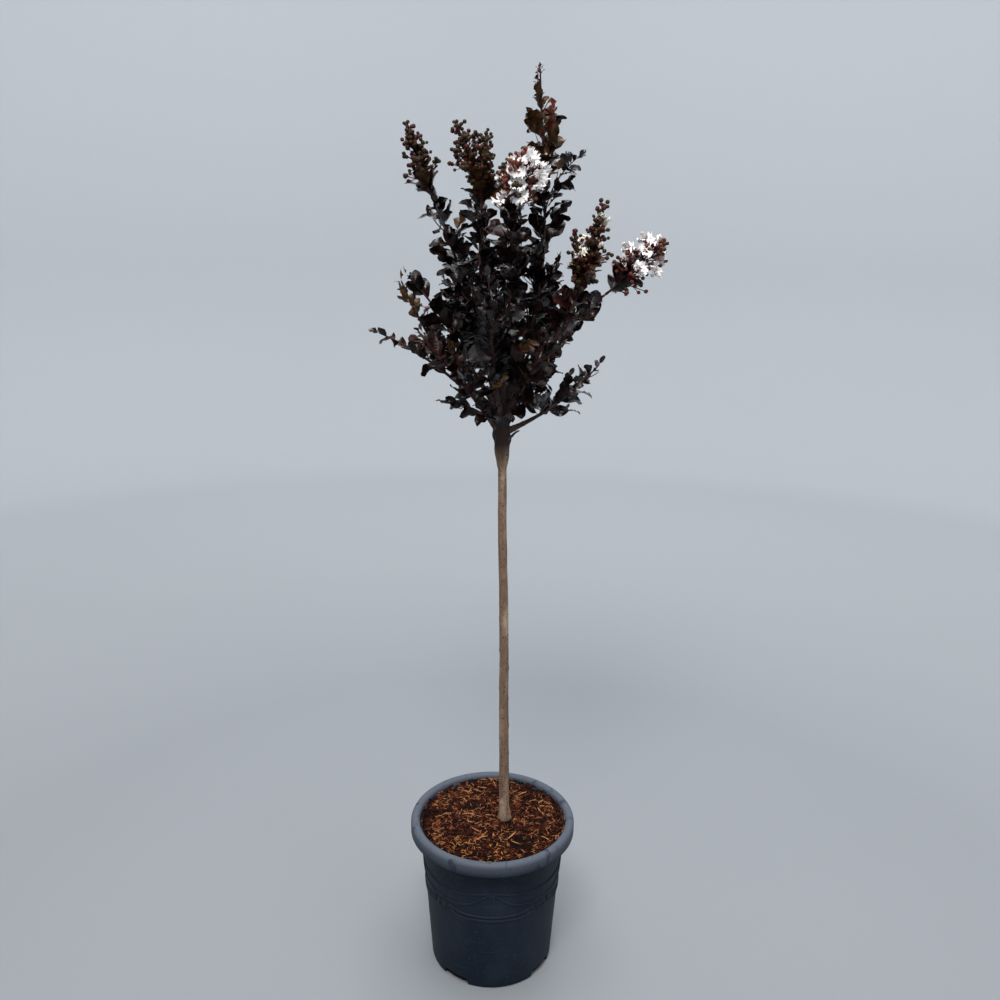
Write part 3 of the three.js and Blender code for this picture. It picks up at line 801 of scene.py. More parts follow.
@dataclass(frozen=True)
class Finish:
    """A surface of one plain colour with a fine bump."""

    name: str
    colour: Colour
    roughness: float = 0.5
    bump_scale: float = 600.0
    bump_strength: float = 0.3
    bump_distance: float = 0.0005
    specular: float = 0.5

    def material(self) -> Material:
        """Builds the finish's material at its first use.

        Returns:
            The material.
        """
        known = bpy.data.materials.get(self.name)
        if known is not None:
            return known
        made = bpy.data.materials.new(self.name)
        made.diffuse_color = (*self.colour, 1.0)
        values = {
            "Base Color": made.diffuse_color,
            "Roughness": self.roughness,
            "Specular IOR Level": self.specular,
        }
        self.dress(MaterialTree(made, values))
        return made

    def dress(self, tree: MaterialTree) -> None:
        """Adds the surface's detail to a tree."""
        self.bump(tree)

    def bump(self, tree: MaterialTree, height: Socket | None = None) -> None:
        """Adds a bump.

        Args:
            tree: The material's tree.
            height: Its height, or none for the finish's own fine grain.
        """
        if height is None:
            height = tree.grain(Grain(self.bump_scale))[1]
        values = {"Strength": self.bump_strength, "Distance": self.bump_distance, "Height": height}
        tree.dress("Normal", tree.add("ShaderNodeBump", values).outputs[0])


@dataclass(frozen=True)
class BarkFinish(Finish):
    """Thin bark with lengthwise streaks, darker flecks and pale scurf."""

    streak: Colour = (0.15, 0.10, 0.075)
    scurf: Colour = (0.37, 0.265, 0.19)
    young: Colour = (0.034, 0.020, 0.017)
    fleck_depth: float = 0.5
    streaks: Grain = Grain(260.0, (1.0, 1.0, 0.13), (0.42, 0.62), 6.0)
    flecks: Grain = Grain(420.0, (1.0, 1.0, 0.55), (0.56, 0.66), 3.0)
    patches: Grain = Grain(70.0, (1.0, 1.0, 0.3), (0.5, 0.7), 5.0)

    def dress(self, tree: MaterialTree) -> None:
        """Adds streaks, flecks and scurf, and the colour of young bark where the mesh says how young it is.

        Args:
            tree: The material's tree.
        """
        streaks, height = tree.grain(self.streaks)
        flecks, patches = (tree.grain(grain)[0] for grain in (self.flecks, self.patches))
        colour = tree.mixed(streaks, self.colour, self.streak)
        colour = tree.mixed(patches, colour, self.scurf)
        colour = tree.mixed(flecks, colour, tuple(self.fleck_depth * part for part in self.streak))
        age = tree.add("ShaderNodeAttribute", attribute_name="age").outputs["Fac"]
        tree.dress("Base Color", tree.mixed(age, self.young, colour))
        self.bump(tree, height)


@dataclass(frozen=True)
class LeafFinish(Finish):
    """A glossy leaf, a little warmer and lighter in patches."""

    bump_scale: float = 420.0
    bump_strength: float = 0.22
    bump_distance: float = 0.0012
    blush: float = 1.9
    warmth: float = 1.25
    gloss_change: Pair = (-0.07, 0.12)
    patches: Grain = Grain(85.0, (1.0, 1.0, 1.0), (0.4, 0.64), 3.0)

    def dress(self, tree: MaterialTree) -> None:
        """Adds the patches, their changing gloss and the veins' fine relief.

        Args:
            tree: The material's tree.
        """
        patches, _ = tree.grain(self.patches)
        red, green, blue = (part * self.blush for part in self.colour)
        lit = (red * self.warmth, green, blue / self.warmth)
        tree.dress("Base Color", tree.mixed(patches, self.colour, lit))
        low, high = (self.roughness + change for change in self.gloss_change)
        tree.dress("Roughness", tree.spanned(patches, low, high))
        self.bump(tree)


@dataclass(frozen=True)
class MouldedFinish(Finish):
    """Moulded plastic: mottled, a little dusty, with scuffs that run round it and painted light on its smudged
    rim.
    """

    dust: Colour = (0.16, 0.19, 0.23)
    # Painted light: the rim's paler colour, from the lower to the upper of these heights, stands in for light
    # from above.
    rim_painted_light: Colour = (0.080, 0.093, 0.118)
    rim_painted_light_heights: Pair = (0.228, 0.25)
    mottling: Grain = Grain(16.0, (1.0, 1.0, 0.6), (0.42, 0.72), 8.0)
    scuffs: Grain = Grain(60.0, (0.25, 0.25, 5.0), (0.6, 0.74), 7.0)
    specks: Grain = Grain(520.0, (1.0, 1.0, 1.0), (0.66, 0.72), 2.0)
    smudges: Grain = Grain(55.0, (1.0, 1.0, 0.6), (0.58, 0.66), 5.0)
    smudge_depth: float = 0.65
    dust_shares: Triple = (0.07, 0.06, 0.3)
    dulled: float = 0.16

    def dress(self, tree: MaterialTree) -> None:
        """Adds the rim's painted light and its smudges, the mottling, scuffs and dust.

        Args:
            tree: The material's tree.
        """
        height = tree.add("ShaderNodeSeparateXYZ", {0: tree.place}).outputs["Z"]
        # Painted light: the rim is painted paler, broken up by smudges that keep the body's colour.
        smudges = tree.spanned(tree.grain(self.smudges)[0], 0.0, self.smudge_depth)
        rim = tree.mixed(smudges, self.rim_painted_light, self.colour)
        colour = tree.mixed(tree.share_of(height, self.rim_painted_light_heights), self.colour, rim)
        masks = [tree.grain(grain)[0] for grain in (self.mottling, self.scuffs, self.specks)]
        for mask, share in zip(masks, self.dust_shares, strict=True):
            colour = tree.mixed(tree.spanned(mask, 0.0, share), colour, self.dust)
        tree.dress("Base Color", colour)
        tree.dress("Roughness", tree.spanned(masks[0], self.roughness, self.roughness + self.dulled))
        self.bump(tree)


@dataclass(frozen=True)
class LooseFinish(Finish):
    """Loose fibrous bits, each a little lighter or darker from place to place."""

    roughness: float = 0.85
    bump_scale: float = 1800.0
    bump_strength: float = 0.5
    bump_distance: float = 0.0006
    specular: float = 0.15
    shade: Colour = (0.02, 0.01, 0.006)
    shaded: float = 0.75
    change: Grain = Grain(150.0, (1.0, 1.0, 1.0), (0.4, 0.68), 3.0)

    def dress(self, tree: MaterialTree) -> None:
        """Adds the change from bit to bit.

        Args:
            tree: The material's tree.
        """
        share = tree.spanned(tree.grain(self.change)[0], 0.0, self.shaded)
        tree.dress("Base Color", tree.mixed(share, self.colour, self.shade))
        self.bump(tree)


@dataclass(frozen=True)
class PaperFinish(Finish):
    """Studio paper, a little deeper in the middle of the floor than far out and on the wall."""

    floor: Colour = (0.27, 0.286, 0.305)
    deepening: Pair = (1.0, 3.4)

    def dress(self, tree: MaterialTree) -> None:
        """Adds the change from the middle outwards.

        Args:
            tree: The material's tree.
        """
        level = tree.add("ShaderNodeVectorMath", {0: tree.place, 1: (1.0, 1.0, 0.0)}, operation="MULTIPLY")
        reach = tree.add("ShaderNodeVectorMath", {0: level.outputs[0]}, operation="LENGTH").outputs["Value"]
        tree.dress("Base Color", tree.mixed(tree.share_of(reach, self.deepening), self.floor, self.colour))


def bud_skin(name: str, colour: Colour, specular: float = 0.18) -> Finish:
    """Returns the finish of a bud's skin."""
    return Finish(name, colour, 0.5, 1500.0, 0.25, 0.0004, specular)


def petal_skin(name: str, colour: Colour) -> Finish:
    """Returns the finish of a petal."""
    return Finish(name, colour, 0.6, 1600.0, 0.35, 0.0006, 0.3)


# The body's colour is the pot's slate blue, made darker as painted shade of the wall under the rim.
POT_FINISH = MouldedFinish("slate_blue_moulding", (0.0078, 0.0135, 0.0240), 0.5, 1400.0, 0.12, 0.0003, 0.12)
TRUNK_FINISH = BarkFinish("grey_brown_bark", (0.210, 0.130, 0.084), 0.85, 600.0, 0.7, 0.0012, 0.2)
SHOOT_FINISH = BarkFinish(
    "shoot_bark", (0.06, 0.036, 0.028), 0.6, 600.0, 0.4, 0.0006, 0.25,
    streak=(0.028, 0.016, 0.014), scurf=(0.12, 0.085, 0.07), young=(0.040, 0.008, 0.010),
)
MIX_FINISH = LooseFinish("potting_mix_bed", (0.0105, 0.0038, 0.0027), 0.95, 900.0, 0.8, 0.002, 0.1)
COIR_ORANGE = LooseFinish("coir_orange", (0.19, 0.041, 0.012), shade=(0.05, 0.014, 0.008))
COIR_TAN = LooseFinish("coir_tan", (0.50, 0.235, 0.100), shade=(0.15, 0.045, 0.02))
COIR_GOLDEN = LooseFinish("coir_golden", (0.62, 0.30, 0.095), shade=(0.17, 0.055, 0.016))
COIR_BROWN = LooseFinish("coir_brown", (0.045, 0.0100, 0.0048), 0.9, specular=0.1)
# Dark crumbs, also dealt along the mix's edge as painted shade under the rim.
BARK_CRUMB_AND_RIM_SHADE = LooseFinish(
    "bark_crumb", (0.0095, 0.0042, 0.0032), 0.9, specular=0.1, shade=(0.004, 0.002, 0.002)
)
BITS = (COIR_ORANGE, COIR_TAN, COIR_GOLDEN, COIR_BROWN, BARK_CRUMB_AND_RIM_SHADE)
BUD_OLIVE = bud_skin("bud_olive_skin", (0.030, 0.0195, 0.0085), 0.15)
BUD_CRIMSON = bud_skin("bud_crimson_skin", (0.056, 0.0115, 0.0095))
BUD_RED = bud_skin("bud_red_skin", (0.135, 0.0330, 0.0220))
CALYX_FINISH = bud_skin("calyx", (0.10, 0.022, 0.014), 0.3)
WHITE_PETALS = petal_skin("white_petals", (0.88, 0.84, 0.835))
CREAM_PETALS = petal_skin("cream_petals", (0.90, 0.85, 0.74))
STAMEN_FINISH = Finish("stamens", (0.50, 0.36, 0.14), 0.6, 1500.0, 0.2, 0.0003)


class Tint(Enum):
    """The leaf colours of a spray."""

    DARK = LeafFinish("leaf_black_maroon", (0.0042, 0.0023, 0.0021), 0.22, specular=0.22)
    SLATE = LeafFinish("leaf_slate", (0.0062, 0.0054, 0.0064), 0.2, specular=0.42)
    MAROON = LeafFinish("leaf_maroon", (0.0115, 0.0040, 0.0036), 0.26, specular=0.23)
    BRONZE = LeafFinish("leaf_bronze", (0.0330, 0.0180, 0.0080), 0.31, bump_strength=0.25, specular=0.16)
    RED = LeafFinish("leaf_red", (0.0600, 0.0130, 0.0090), 0.31, bump_strength=0.25, specular=0.26)


class Mood(Enum):
    """How a shoot deals out its tints among its sprays, as shares in the order of the tints."""

    DEEP = (0.55, 0.2, 0.22, 0.03, 0.0)
    WARM = (0.35, 0.1, 0.42, 0.13, 0.0)
    BRONZED = (0.06, 0.02, 0.22, 0.64, 0.06)
    BRACTS = (0.1, 0.0, 0.2, 0.67, 0.03)

    def deal(self, random: RandomStream) -> Tint:
        """Deals one spray its tint.

        Args:
            random: The stream of numbers.

        Returns:
            The tint.
        """
        draw = random()
        for tint, share in zip(Tint, self.value, strict=True):
            if draw < share:
                return tint
            draw -= share
        return Tint.DARK


# The crown's rule


class Bloom(Enum):
    """How far a panicle has opened: its share of open flowers among the stalks."""

    BUD = 0.0
    MIXED = 0.2
    BLOSSOM = 0.5


@dataclass(frozen=True)
class PanicleEnd:
    """The panicle that a shoot ends in: its state, top, width and the tops of its side spires."""

    bloom: Bloom
    top: Triple
    width: float
    side_spires: tuple[Triple, ...] = ()


@dataclass(frozen=True)
class Offshoot:
    """One long twig: the share of the shoot that it leaves from, its tip, its lean and its tip's own tint."""

    start: float
    tip: Triple
    lean: float = 0.0
    tip_tint: Tint | None = None


@dataclass(frozen=True)
class Shoot:
    """One shoot of the crown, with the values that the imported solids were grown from.

    Attributes:
        name: Its name in the names of its nodes.
        foot: The height at which it leaves the trunk.
        tip: Where its line ends.
        rise: Degrees from the level at its foot.
        tip_rise: Degrees from the level at its tip.
        bough: The share of its length that is bare bough, or 0 if it has none.
        leaf: The size of its leaves.
        twig: The length of its twigs.
        twigs_to: The share of its leafy stretch that bears twigs.
        rank: The rank, of three round the stem, of its first leaf.
        space: How far from its line its growth may reach.
        mood: How its sprays are tinted.
        end: The panicle that it ends in.
        offshoots: Its long twigs.
        bare: The length below its tip that carries no leaves.
        tip_leaf: The size of the leaves at its tip.
        crowding: How much closer its leaves stand towards its tip, where 1 is evenly.
        taper: The length below its tip over which its leaves grow to their full size.
        spacing: The mean distance between its leaves.
    """

    name: str
    foot: float
    tip: Triple
    rise: float
    tip_rise: float
    bough: float
    leaf: float
    twig: float
    twigs_to: float
    rank: int
    space: float
    mood: Mood = Mood.DEEP
    end: PanicleEnd | None = None
    offshoots: tuple[Offshoot, ...] = ()
    bare: float = 0.0
    tip_leaf: float = 0.36
    crowding: float = 1.0
    taper: float = 76.0
    spacing: float = 7.6


SHOOTS = (
    Shoot("leader", 936, (52, 20, 1395), 60, 93, 0.18, 0.92, 0.7, 0.5, 2, 70, Mood.BRONZED,
          offshoots=(Offshoot(0.56, (106, -10, 1266)), Offshoot(0.71, (71, 6, 1326), 0.45, Tint.RED)),
          tip_leaf=0.18, crowding=1.3, taper=100, spacing=4.6),
    Shoot("tall_left", 930, (-88, 20, 1202), 74, 66, 0.24, 1, 0.7, 1, 1, 60, Mood.DEEP,
          PanicleEnd(Bloom.BUD, (-125, 15, 1302), 80), (Offshoot(0.74, (-74, 2, 1226)),)),
    Shoot("tall_middle", 934, (-24, -30, 1192), 74, 94, 0.22, 1, 0.8, 1, 1, 60, Mood.WARM,
          PanicleEnd(Bloom.BUD, (-56, -30, 1300), 96, ((-18, -34, 1290),))),
    Shoot("front_blossom", 932, (18, -55, 1184), 62, 88, 0.22, 1, 0.7, 1, 0, 58, Mood.DEEP,
          PanicleEnd(Bloom.BLOSSOM, (36, -62, 1262), 88)),
    Shoot("right", 922, (108, -30, 1084), 42, 66, 0.24, 1, 0.9, 1, 2, 58, Mood.WARM,
          PanicleEnd(Bloom.MIXED, (139, -32, 1202), 74, ((102, -36, 1164),)),
          (Offshoot(0.66, (88, -48, 1118)),)),
    Shoot("far_right", 914, (152, 20, 1084), 42, 36, 0.24, 0.95, 0.5, 0.6, 1, 38, Mood.DEEP,
          PanicleEnd(Bloom.BLOSSOM, (226, 22, 1156), 88), bare=24),
    Shoot("low_right", 888, (152, -30, 1003), 26, 50, 0.26, 0.85, 0.5, 0.8, 0, 34, taper=60),
    Shoot("low_left", 910, (-176, -40, 1038), 40, 24, 0.26, 0.8, 0.5, 0.8, 0, 30, taper=50, spacing=6.4),
    Shoot("left", 918, (-145, 30, 1115), 36, 66, 0.24, 0.95, 0.7, 0.9, 2, 38, Mood.BRONZED),
    Shoot("left_front", 924, (-132, -62, 1122), 52, 44, 0.24, 0.95, 0.6, 0.9, 0, 38),
    Shoot("left_low_front", 890, (-112, -84, 1046), 50, 46, 0.24, 0.95, 0.6, 0.9, 1, 34, Mood.WARM),
    Shoot("front", 910, (-12, -132, 1130), 46, 76, 0.24, 1, 0.9, 0.9, 0, 58),
    Shoot("front_right", 902, (66, -124, 1058), 40, 62, 0.24, 1, 0.9, 0.9, 0, 44),
    Shoot("back_left", 926, (-60, 116, 1176), 56, 82, 0.24, 1, 1, 0.9, 0, 62),
    Shoot("back", 938, (10, 92, 1178), 68, 84, 0.22, 1, 0.9, 1, 2, 60, Mood.WARM,
          PanicleEnd(Bloom.BUD, (8, 100, 1262), 64)),
    Shoot("back_right", 920, (92, 112, 1142), 50, 70, 0.24, 1, 1, 0.9, 1, 62),
    Shoot("back_low_left", 900, (-112, 124, 1036), 36, 50, 0.24, 0.95, 0.8, 0.9, 0, 54),
    Shoot("back_low_right", 894, (80, 134, 1010), 34, 50, 0.24, 0.95, 0.8, 0.9, 0, 50),
    Shoot("back_low", 908, (-6, 168, 1076), 40, 64, 0.24, 1, 0.9, 0.9, 1, 58, Mood.WARM),
    Shoot("foot_left", 898, (-92, -22, 934), 40, 4, 0, 0.95, 0.5, 0.5, 2, 40),
    Shoot("foot_front", 902, (-26, -84, 946), 30, 44, 0, 0.95, 0.5, 0.5, 1, 44),
    Shoot("foot_back", 890, (26, 92, 934), 30, 44, 0, 0.95, 0.5, 0.5, 0, 44),
    Shoot("foot_right", 876, (44, -22, 898), 16, 20, 0, 0.8, 0.5, 0.5, 1, 36),
)


@dataclass
class Limb:
    """A stem, twig or sprig that leaves grow on.

    Attributes:
        path: Its line.
        start: The share of the line from which leaves may grow.
        radius_at: Its radius at a share of the line.
        rank: The rank, of three, of its first leaf.
        leaf: The size of its leaves.
        tip_share: The size of the leaves at its tip, as a share of that.
        tint: The tint of its leaves.
        sides: The corners of its tube's rings.
        step: The distance between the rings.
        taper: The length below its tip over which its leaves grow to their full size.
        bare: The length below its tip that carries no leaves.
        spacing: The mean distance between its leaves.
        crowding: How much closer they stand towards its tip, where 1 is evenly.
        tip_tint: The tint of the leaves at its tip, if they have their own.
        tip_reach: The length below its tip that has it.
        growth: The power by which its leaves grow from the tip down.
    """

    path: Path
    start: float
    radius_at: Callable[[float], float]
    rank: int
    leaf: float
    tip_share: float
    tint: Tint
    sides: int
    step: float
    taper: float = 44.0
    bare: float = 0.0
    spacing: float = 7.6
    crowding: float = 1.0
    tip_tint: Tint | None = None
    tip_reach: float = 30.0
    growth: float = 1.1

    def tint_at(self, to_tip: float) -> Tint:
        """Returns the tint of its leaves at a distance from its tip."""
        return self.tip_tint if self.tip_tint and to_tip < self.tip_reach else self.tint

    def leaf_share(self, to_tip: float) -> float:
        """Returns the size of its leaves at a distance from its tip, as a share of the full size."""
        return lerp(self.tip_share, 1.0, min(1.0, to_tip / self.taper) ** self.growth)


@dataclass
class Space:
    """The points that the crown has taken up, kept in a grid of cells."""

    cell: float = 9.0
    cells: dict[Cell, list[tuple[Vec, float]]] = field(default_factory=lambda: defaultdict(list))

    def key(self, point: Vec) -> Cell:
        """Returns the cell that a point lies in."""
        return tuple(int(part) for part in np.floor(point / self.cell))

    def take(self, points: Iterable[Vec], radius: float) -> None:
        """Takes up the space round some points."""
        for point in points:
            self.cells[self.key(point)].append((point, radius))

    def is_free(self, points: Iterable[Vec], radius: float) -> bool:
        """Looks for room round some points.

        Args:
            points: The points.
            radius: The room that each of them needs.

        Returns:
            Whether every point keeps its radius clear of what is taken up.
        """
        for point in points:
            near = ((part - 1, part, part + 1) for part in self.key(point))
            for other, reach in (taken for cell in product(*near) for taken in self.cells.get(cell, ())):
                away = point - other
                if float(away @ away) < (radius + reach) ** 2:
                    return False
        return True


@dataclass(frozen=True)
class Gaps:
    """Gaps of the crown that stay open to the front: lanes that widen from the view point.

    Each gap is its middle's place east and its height, where the lane passes the trunk, and its radius.
    """

    gaps: tuple[Triple, ...] = (
        (-141, 1052, 18), (-81, 955, 17), (99, 992, 14), (-139, 988, 16), (-100, 1076, 10),
        (132, 1034, 16), (69, 1359, 15), (114, 1017, 10), (142, 959, 13), (159, 980, 13), (74, 1139, 9),
        (33, 1097, 7), (-58, 948, 7), (29, 892, 7), (-97, 1168, 9), (-119, 982, 14), (-121, 1044, 8),
        (98, 1283, 12), (153, 1057, 12), (-69, 909, 12), (39, 1151, 6), (-105, 1196, 7), (-91, 1121, 11),
        (-134, 1030, 7), (-138, 1127, 10), (97, 905, 13), (-83, 1103, 6), (42, 897, 7), (151, 1078, 9),
        (76, 960, 6), (82, 1305, 6), (-42, 900, 7), (-158, 1041, 8), (-97, 995, 5),
    )

    def are_clear_of(self, points: Iterable[Vec]) -> bool:
        """Tests points against every gap.

        Args:
            points: The points.

        Returns:
            Whether no gap holds any of them.
        """
        far = np.array(VIEW_POINT)
        middles = np.array([(east, 0.0, height) for east, height, _ in self.gaps]) - far
        reaches = np.linalg.norm(middles, axis=1)
        radii = np.array([radius for _, _, radius in self.gaps])
        away = np.array(list(points)) - far
        along = away @ (middles / reaches[:, None]).T
        aside = np.sqrt(np.maximum(0.0, (away**2).sum(axis=1)[:, None] - along**2))
        return bool((aside > radii * along / reaches).all())


@dataclass
class LeafShapes:
    """The leaf in several forms: folded, waved at its rim and curled back at its tip, one unit long."""

    count: int = 10
    seed: int = 500
    seed_step: int = 37
    width: float = 0.52
    widths: Pair = (0.86, 1.1)
    petiole: float = 0.07
    petiole_width: float = 0.035
    stations: tuple[float, ...] = (0.0, 0.1, 0.24, 0.4, 0.56, 0.72, 0.86, 0.96)
    columns: tuple[float, ...] = (-1.0, -0.5, 0.0, 0.5, 1.0)
    fullest: float = 1.06
    roundness: float = 0.66
    lean: float = 0.25
    curls: Pair = (0.3, 1.35)
    curled_in: float = -0.6
    curled_in_every: int = 5
    curl_from: float = 0.15
    curl_growth: float = 1.4
    fold: float = 0.26
    folds: Pair = (0.2, 1.5)
    fold_power: float = 0.8
    twist: float = 0.5
    wave: float = 0.09
    waves: Pair = (9.0, 21.0)
    finer_wave: float = 0.45
    side_phase: float = 1.7

    def meshes(self) -> list[Mesh]:
        """Returns one mesh for each form."""
        return [self.form(index) for index in range(self.count)]

    def half_width(self, station: float, width: float) -> Pair:
        """Finds the blade's width.

        Args:
            station: The place along the blade, from 0 to 1.
            width: The leaf's own width.

        Returns:
            How full the blade is there and half its width.
        """
        body = math.sin(math.pi * station**self.fullest) ** self.roundness if station > 0 else 0.0
        return body, max(body * width / 2, self.petiole_width / 2)

    def ripple(self, share: float, column: float, phase: float) -> float:
        """Finds how far the rim's waves lift the blade.

        Args:
            share: The place along the leaf, from 0 to 1.
            column: The place to the side, from -1 to 1.
            phase: Where the waves start.

        Returns:
            The lift, as a share of the blade's fullness.
        """
        side = phase + (self.side_phase if column > 0 else 0.0)
        long, short = self.waves
        ripple = math.sin(long * share + side) + self.finer_wave * math.sin(short * share - 2.0 * side)
        return ripple * (self.wave * abs(column))

    def form(self, index: int) -> Mesh:
        """Makes one form of the leaf.

        Args:
            index: The form's number.

        Returns:
            Its mesh, which runs along Y from the petiole's foot.
        """
        random = RandomStream(self.seed + index * self.seed_step)
        is_curled_in = index % self.curled_in_every == self.curled_in_every - 1
        curl = random.between(*self.curls) * (self.curled_in if is_curled_in else 1.0)
        fold = self.fold * random.between(*self.folds)
        phase = random.between(0.0, 2 * math.pi)
        twist = random.spread(self.twist)
        width = self.width * random.between(*self.widths)
        corners: list[Vec] = []
        spine, previous = np.zeros(3), 0.0
        for station in (-1.0, *self.stations, 1.0):
            share = 0.0 if station < 0 else self.petiole + (1 - self.petiole) * station
            angle = self.lean - curl * max(share - self.curl_from, 0.0) ** self.curl_growth
            spine = spine + (share - previous) * np.array([0.0, math.cos(angle), math.sin(angle)])
            previous = share
            normal = np.array([0.0, -math.sin(angle), math.cos(angle)])
            if station >= 1.0:
                corners.append(spine)
                continue
            body, half = self.half_width(station, width)
            for column in self.columns:
                height = half * fold * abs(column) ** self.fold_power
                height += self.ripple(share, column, phase) * body + half * (twist * share * column)
                corners.append(spine + np.array([column * half, 0.0, 0.0]) + normal * height)
        wide, tip = len(self.columns), len(corners) - 1
        faces = grid_faces(tip // wide, wide)
        faces.extend((tip - wide + column, tip - wide + column + 1, tip) for column in range(wide - 1))
        stock = MeshStock()
        stock.add(corners, faces)
        return stock.mesh(f"leaf_form_{index}")


@dataclass
class Crown:
    """The crown: boughs and stems from the head, their twigs and sprigs, and the leaves on them all."""

    trunk: Trunk
    stem_seed: int = 1000
    stem_seed_step: int = 77
    tint_seed: int = 300
    tint_seed_step: int = 7
    twig_tint_step: int = 13
    fine_seed: int = 4000
    fine_seed_step: int = 91
    axis_steps: int = 24
    inset: float = 5.0
    handle: float = 0.38
    gap: float = 0.3
    cad_leaf_length: float = 44.0
    cad_tip_share: float = 0.4
    clear_of_head: float = 20.0
    bough_radii: Pair = (4.2, 2.8)
    stem_radii: Pair = (2.6, 1.0)
    stem_sides: int = 10
    stem_step: float = 2.5
    bearing_tip: float = 1.6
    bearing_share: float = 0.8
    blunt_tip: float = 0.6
    taken_step: float = 3.5
    collar: float = 2.2
    collar_reach: float = 15.0
    node_spacing: float = 15.0
    node_swelling: float = 0.14
    node_sharpness: int = 6
    rank_turns: Pair = (60.0, 120.0)
    twig_spacing: float = 42.0
    twig_reach: Pair = (84.0, 34.0)
    twig_lengths: Pair = (0.85, 1.15)
    twig_angle: float = 46.0
    twig_angle_spread: float = 16.0
    twig_turn_jitter: float = 20.0
    twig_bend: float = 14.0
    twig_radius_share: float = 0.58
    twig_tip_radius: float = 0.7
    twig_leaf: float = 0.92
    twig_tip_leaf: float = 0.45
    twig_sides: int = 7
    fine_step: float = 4.0
    sprig_spacing: float = 25.0
    sprig_start: float = 0.35
    sprig_reach: Pair = (34.0, 20.0)
    sprig_lengths: Pair = (0.75, 1.2)
    sprig_angle: float = 48.0
    sprig_angle_spread: float = 24.0
    sprig_turn_jitter: float = 30.0
    sprig_bend: float = 6.0
    sprig_radii: Pair = (0.8, 0.5)
    sprig_leaf: float = 0.9
    sprig_tip_leaf: float = 0.62
    sprig_sides: int = 6
    limb_room: float = 1.5
    limb_room_from: float = 0.28
    limb_test_step: float = 6.0
    twig_ages: Pair = (0.35, 0.0)
    leaf_length: float = 46.0
    leaf_lengths: Pair = (0.82, 1.12)
    leaves_from: float = 0.16
    leaf_inset: float = 0.7
    leaf_lift: float = 0.35
    end_leaf_angle: float = 12.0
    end_leaf_gap: float = 0.6
    offshoot_spacing: float = 5.6
    offshoot_leaf: float = 0.82
    leaf_angle: float = 50.0
    leaf_angle_spread: float = 30.0
    leaf_turn_jitter: float = 24.0
    leaf_turns: tuple[float, ...] = (0.0, 60.0, -60.0, 120.0, -120.0, 180.0)
    turned_leaf: float = 0.86
    leaf_room: float = 2.5
    roomy_leaf: float = 34.0
    tested_shares: tuple[float, ...] = (0.4, 0.6, 0.8, 0.97)
    tested_side: float = 0.2
    leaf_roll: float = 0.85
    young_reach: float = 165.0
    foliage_nodes: tuple[str, ...] = tuple(f"foliage_{shoot.name}" for shoot in SHOOTS)
    bough_nodes: tuple[str, ...] = tuple(f"bough_{shoot.name}" for shoot in SHOOTS if shoot.bough > 0)

    def __post_init__(self) -> None:
        """Starts with nothing grown."""
        self.space = Space()
        self.limbs = MeshStock()
        self.twigs = MeshStock()
        self.leaves: dict[Tint, list[Place]] = {tint: [] for tint in Tint}
        self.curves: dict[str, Path] = {}
        self.forms = LeafShapes()
        self.gaps = Gaps()

    def shoot_path(self, shoot: Shoot) -> Path:
        """Draws the line of a shoot.

        Args:
            shoot: The shoot.

        Returns:
            The line, from inside the head to the shoot's tip.
        """
        centre = self.trunk.centre_at(shoot.foot)
        tip = np.array(shoot.tip, float)
        level = unit((tip - centre) * (EAST + NORTH))
        leaving, arriving = tilted(level, shoot.rise), tilted(level, shoot.tip_rise)
        if shoot.end is None:
            tip = tip - arriving * (self.cad_leaf_length * self.cad_tip_share * shoot.leaf)
        foot = centre + level * self.inset
        pull = float(np.linalg.norm(tip - foot)) * self.handle
        return Path(bezier(foot, foot + leaving * pull, tip - arriving * pull, tip), np.cross(level, UP))

    def rank_turn(self, rank: int, jitter: float, random: RandomStream) -> float:
        """Returns the turn round a limb of one of its three ranks, give or take some degrees."""
        return self.rank_turns[0] + self.rank_turns[1] * (rank % 3) + random.spread(jitter)

    def add_tube(self, stock: MeshStock, limb: Limb, ages: Pair) -> None:
        """Adds a limb's tube to a stock and takes up its space.

        Args:
            stock: The stock that the tube joins.
            limb: The limb.
            ages: Values at the limb's foot and tip, for the colour of its bark.
        """
        path = limb.path
        steps = max(3, round(path.length * (1 - limb.start) / limb.step))
        rings, values = [], []
        for step in range(steps + 1):
            along = step / steps
            share = lerp(limb.start, 1.0, along)
            radius = limb.radius_at(share)
            if step == steps:
                radius *= self.blunt_tip
            rings.append(ring_round(path.point(share), path.tangent(share), path.side, [radius] * limb.sides))
            values.append(lerp(*ages, along))
        stock.add_rings(rings, values)
        samples = max(2, int(path.length / self.taken_step))
        for sample in range(samples + 1):
            share = lerp(limb.start, 1.0, sample / samples)
            self.space.take([path.point(share)], limb.radius_at(share))

    def stem_of(self, shoot: Shoot, random: RandomStream) -> Limb:
        """Grows a shoot's own limb, from the head to its tip.

        Args:
            shoot: The shoot.
            random: The stream of numbers for the stems' tints.

        Returns:
            The limb.
        """
        path = self.shoot_path(shoot)
        has_bough, bough_end = shoot.bough > 0, shoot.bough
        tip_radius = self.bearing_tip if shoot.end else self.stem_radii[1]

        def radius_at(share: float) -> float:
            """Thins the limb towards its tip, with swollen nodes and a collar at its foot.

            Args:
                share: The share of its length.

            Returns:
                Its radius there.
            """
            distance = share * path.length
            if share < bough_end:
                radius = lerp(*self.bough_radii, share / bough_end)
            else:
                radius = lerp(self.stem_radii[0], tip_radius, (share - bough_end) / (1 - bough_end))
            node = max(0.0, math.cos(2 * math.pi * distance / self.node_spacing))
            swelling = 1 + self.node_swelling * node**self.node_sharpness
            collar = self.collar * math.exp(-distance / self.collar_reach) if has_bough else 0.0
            return radius * swelling + collar

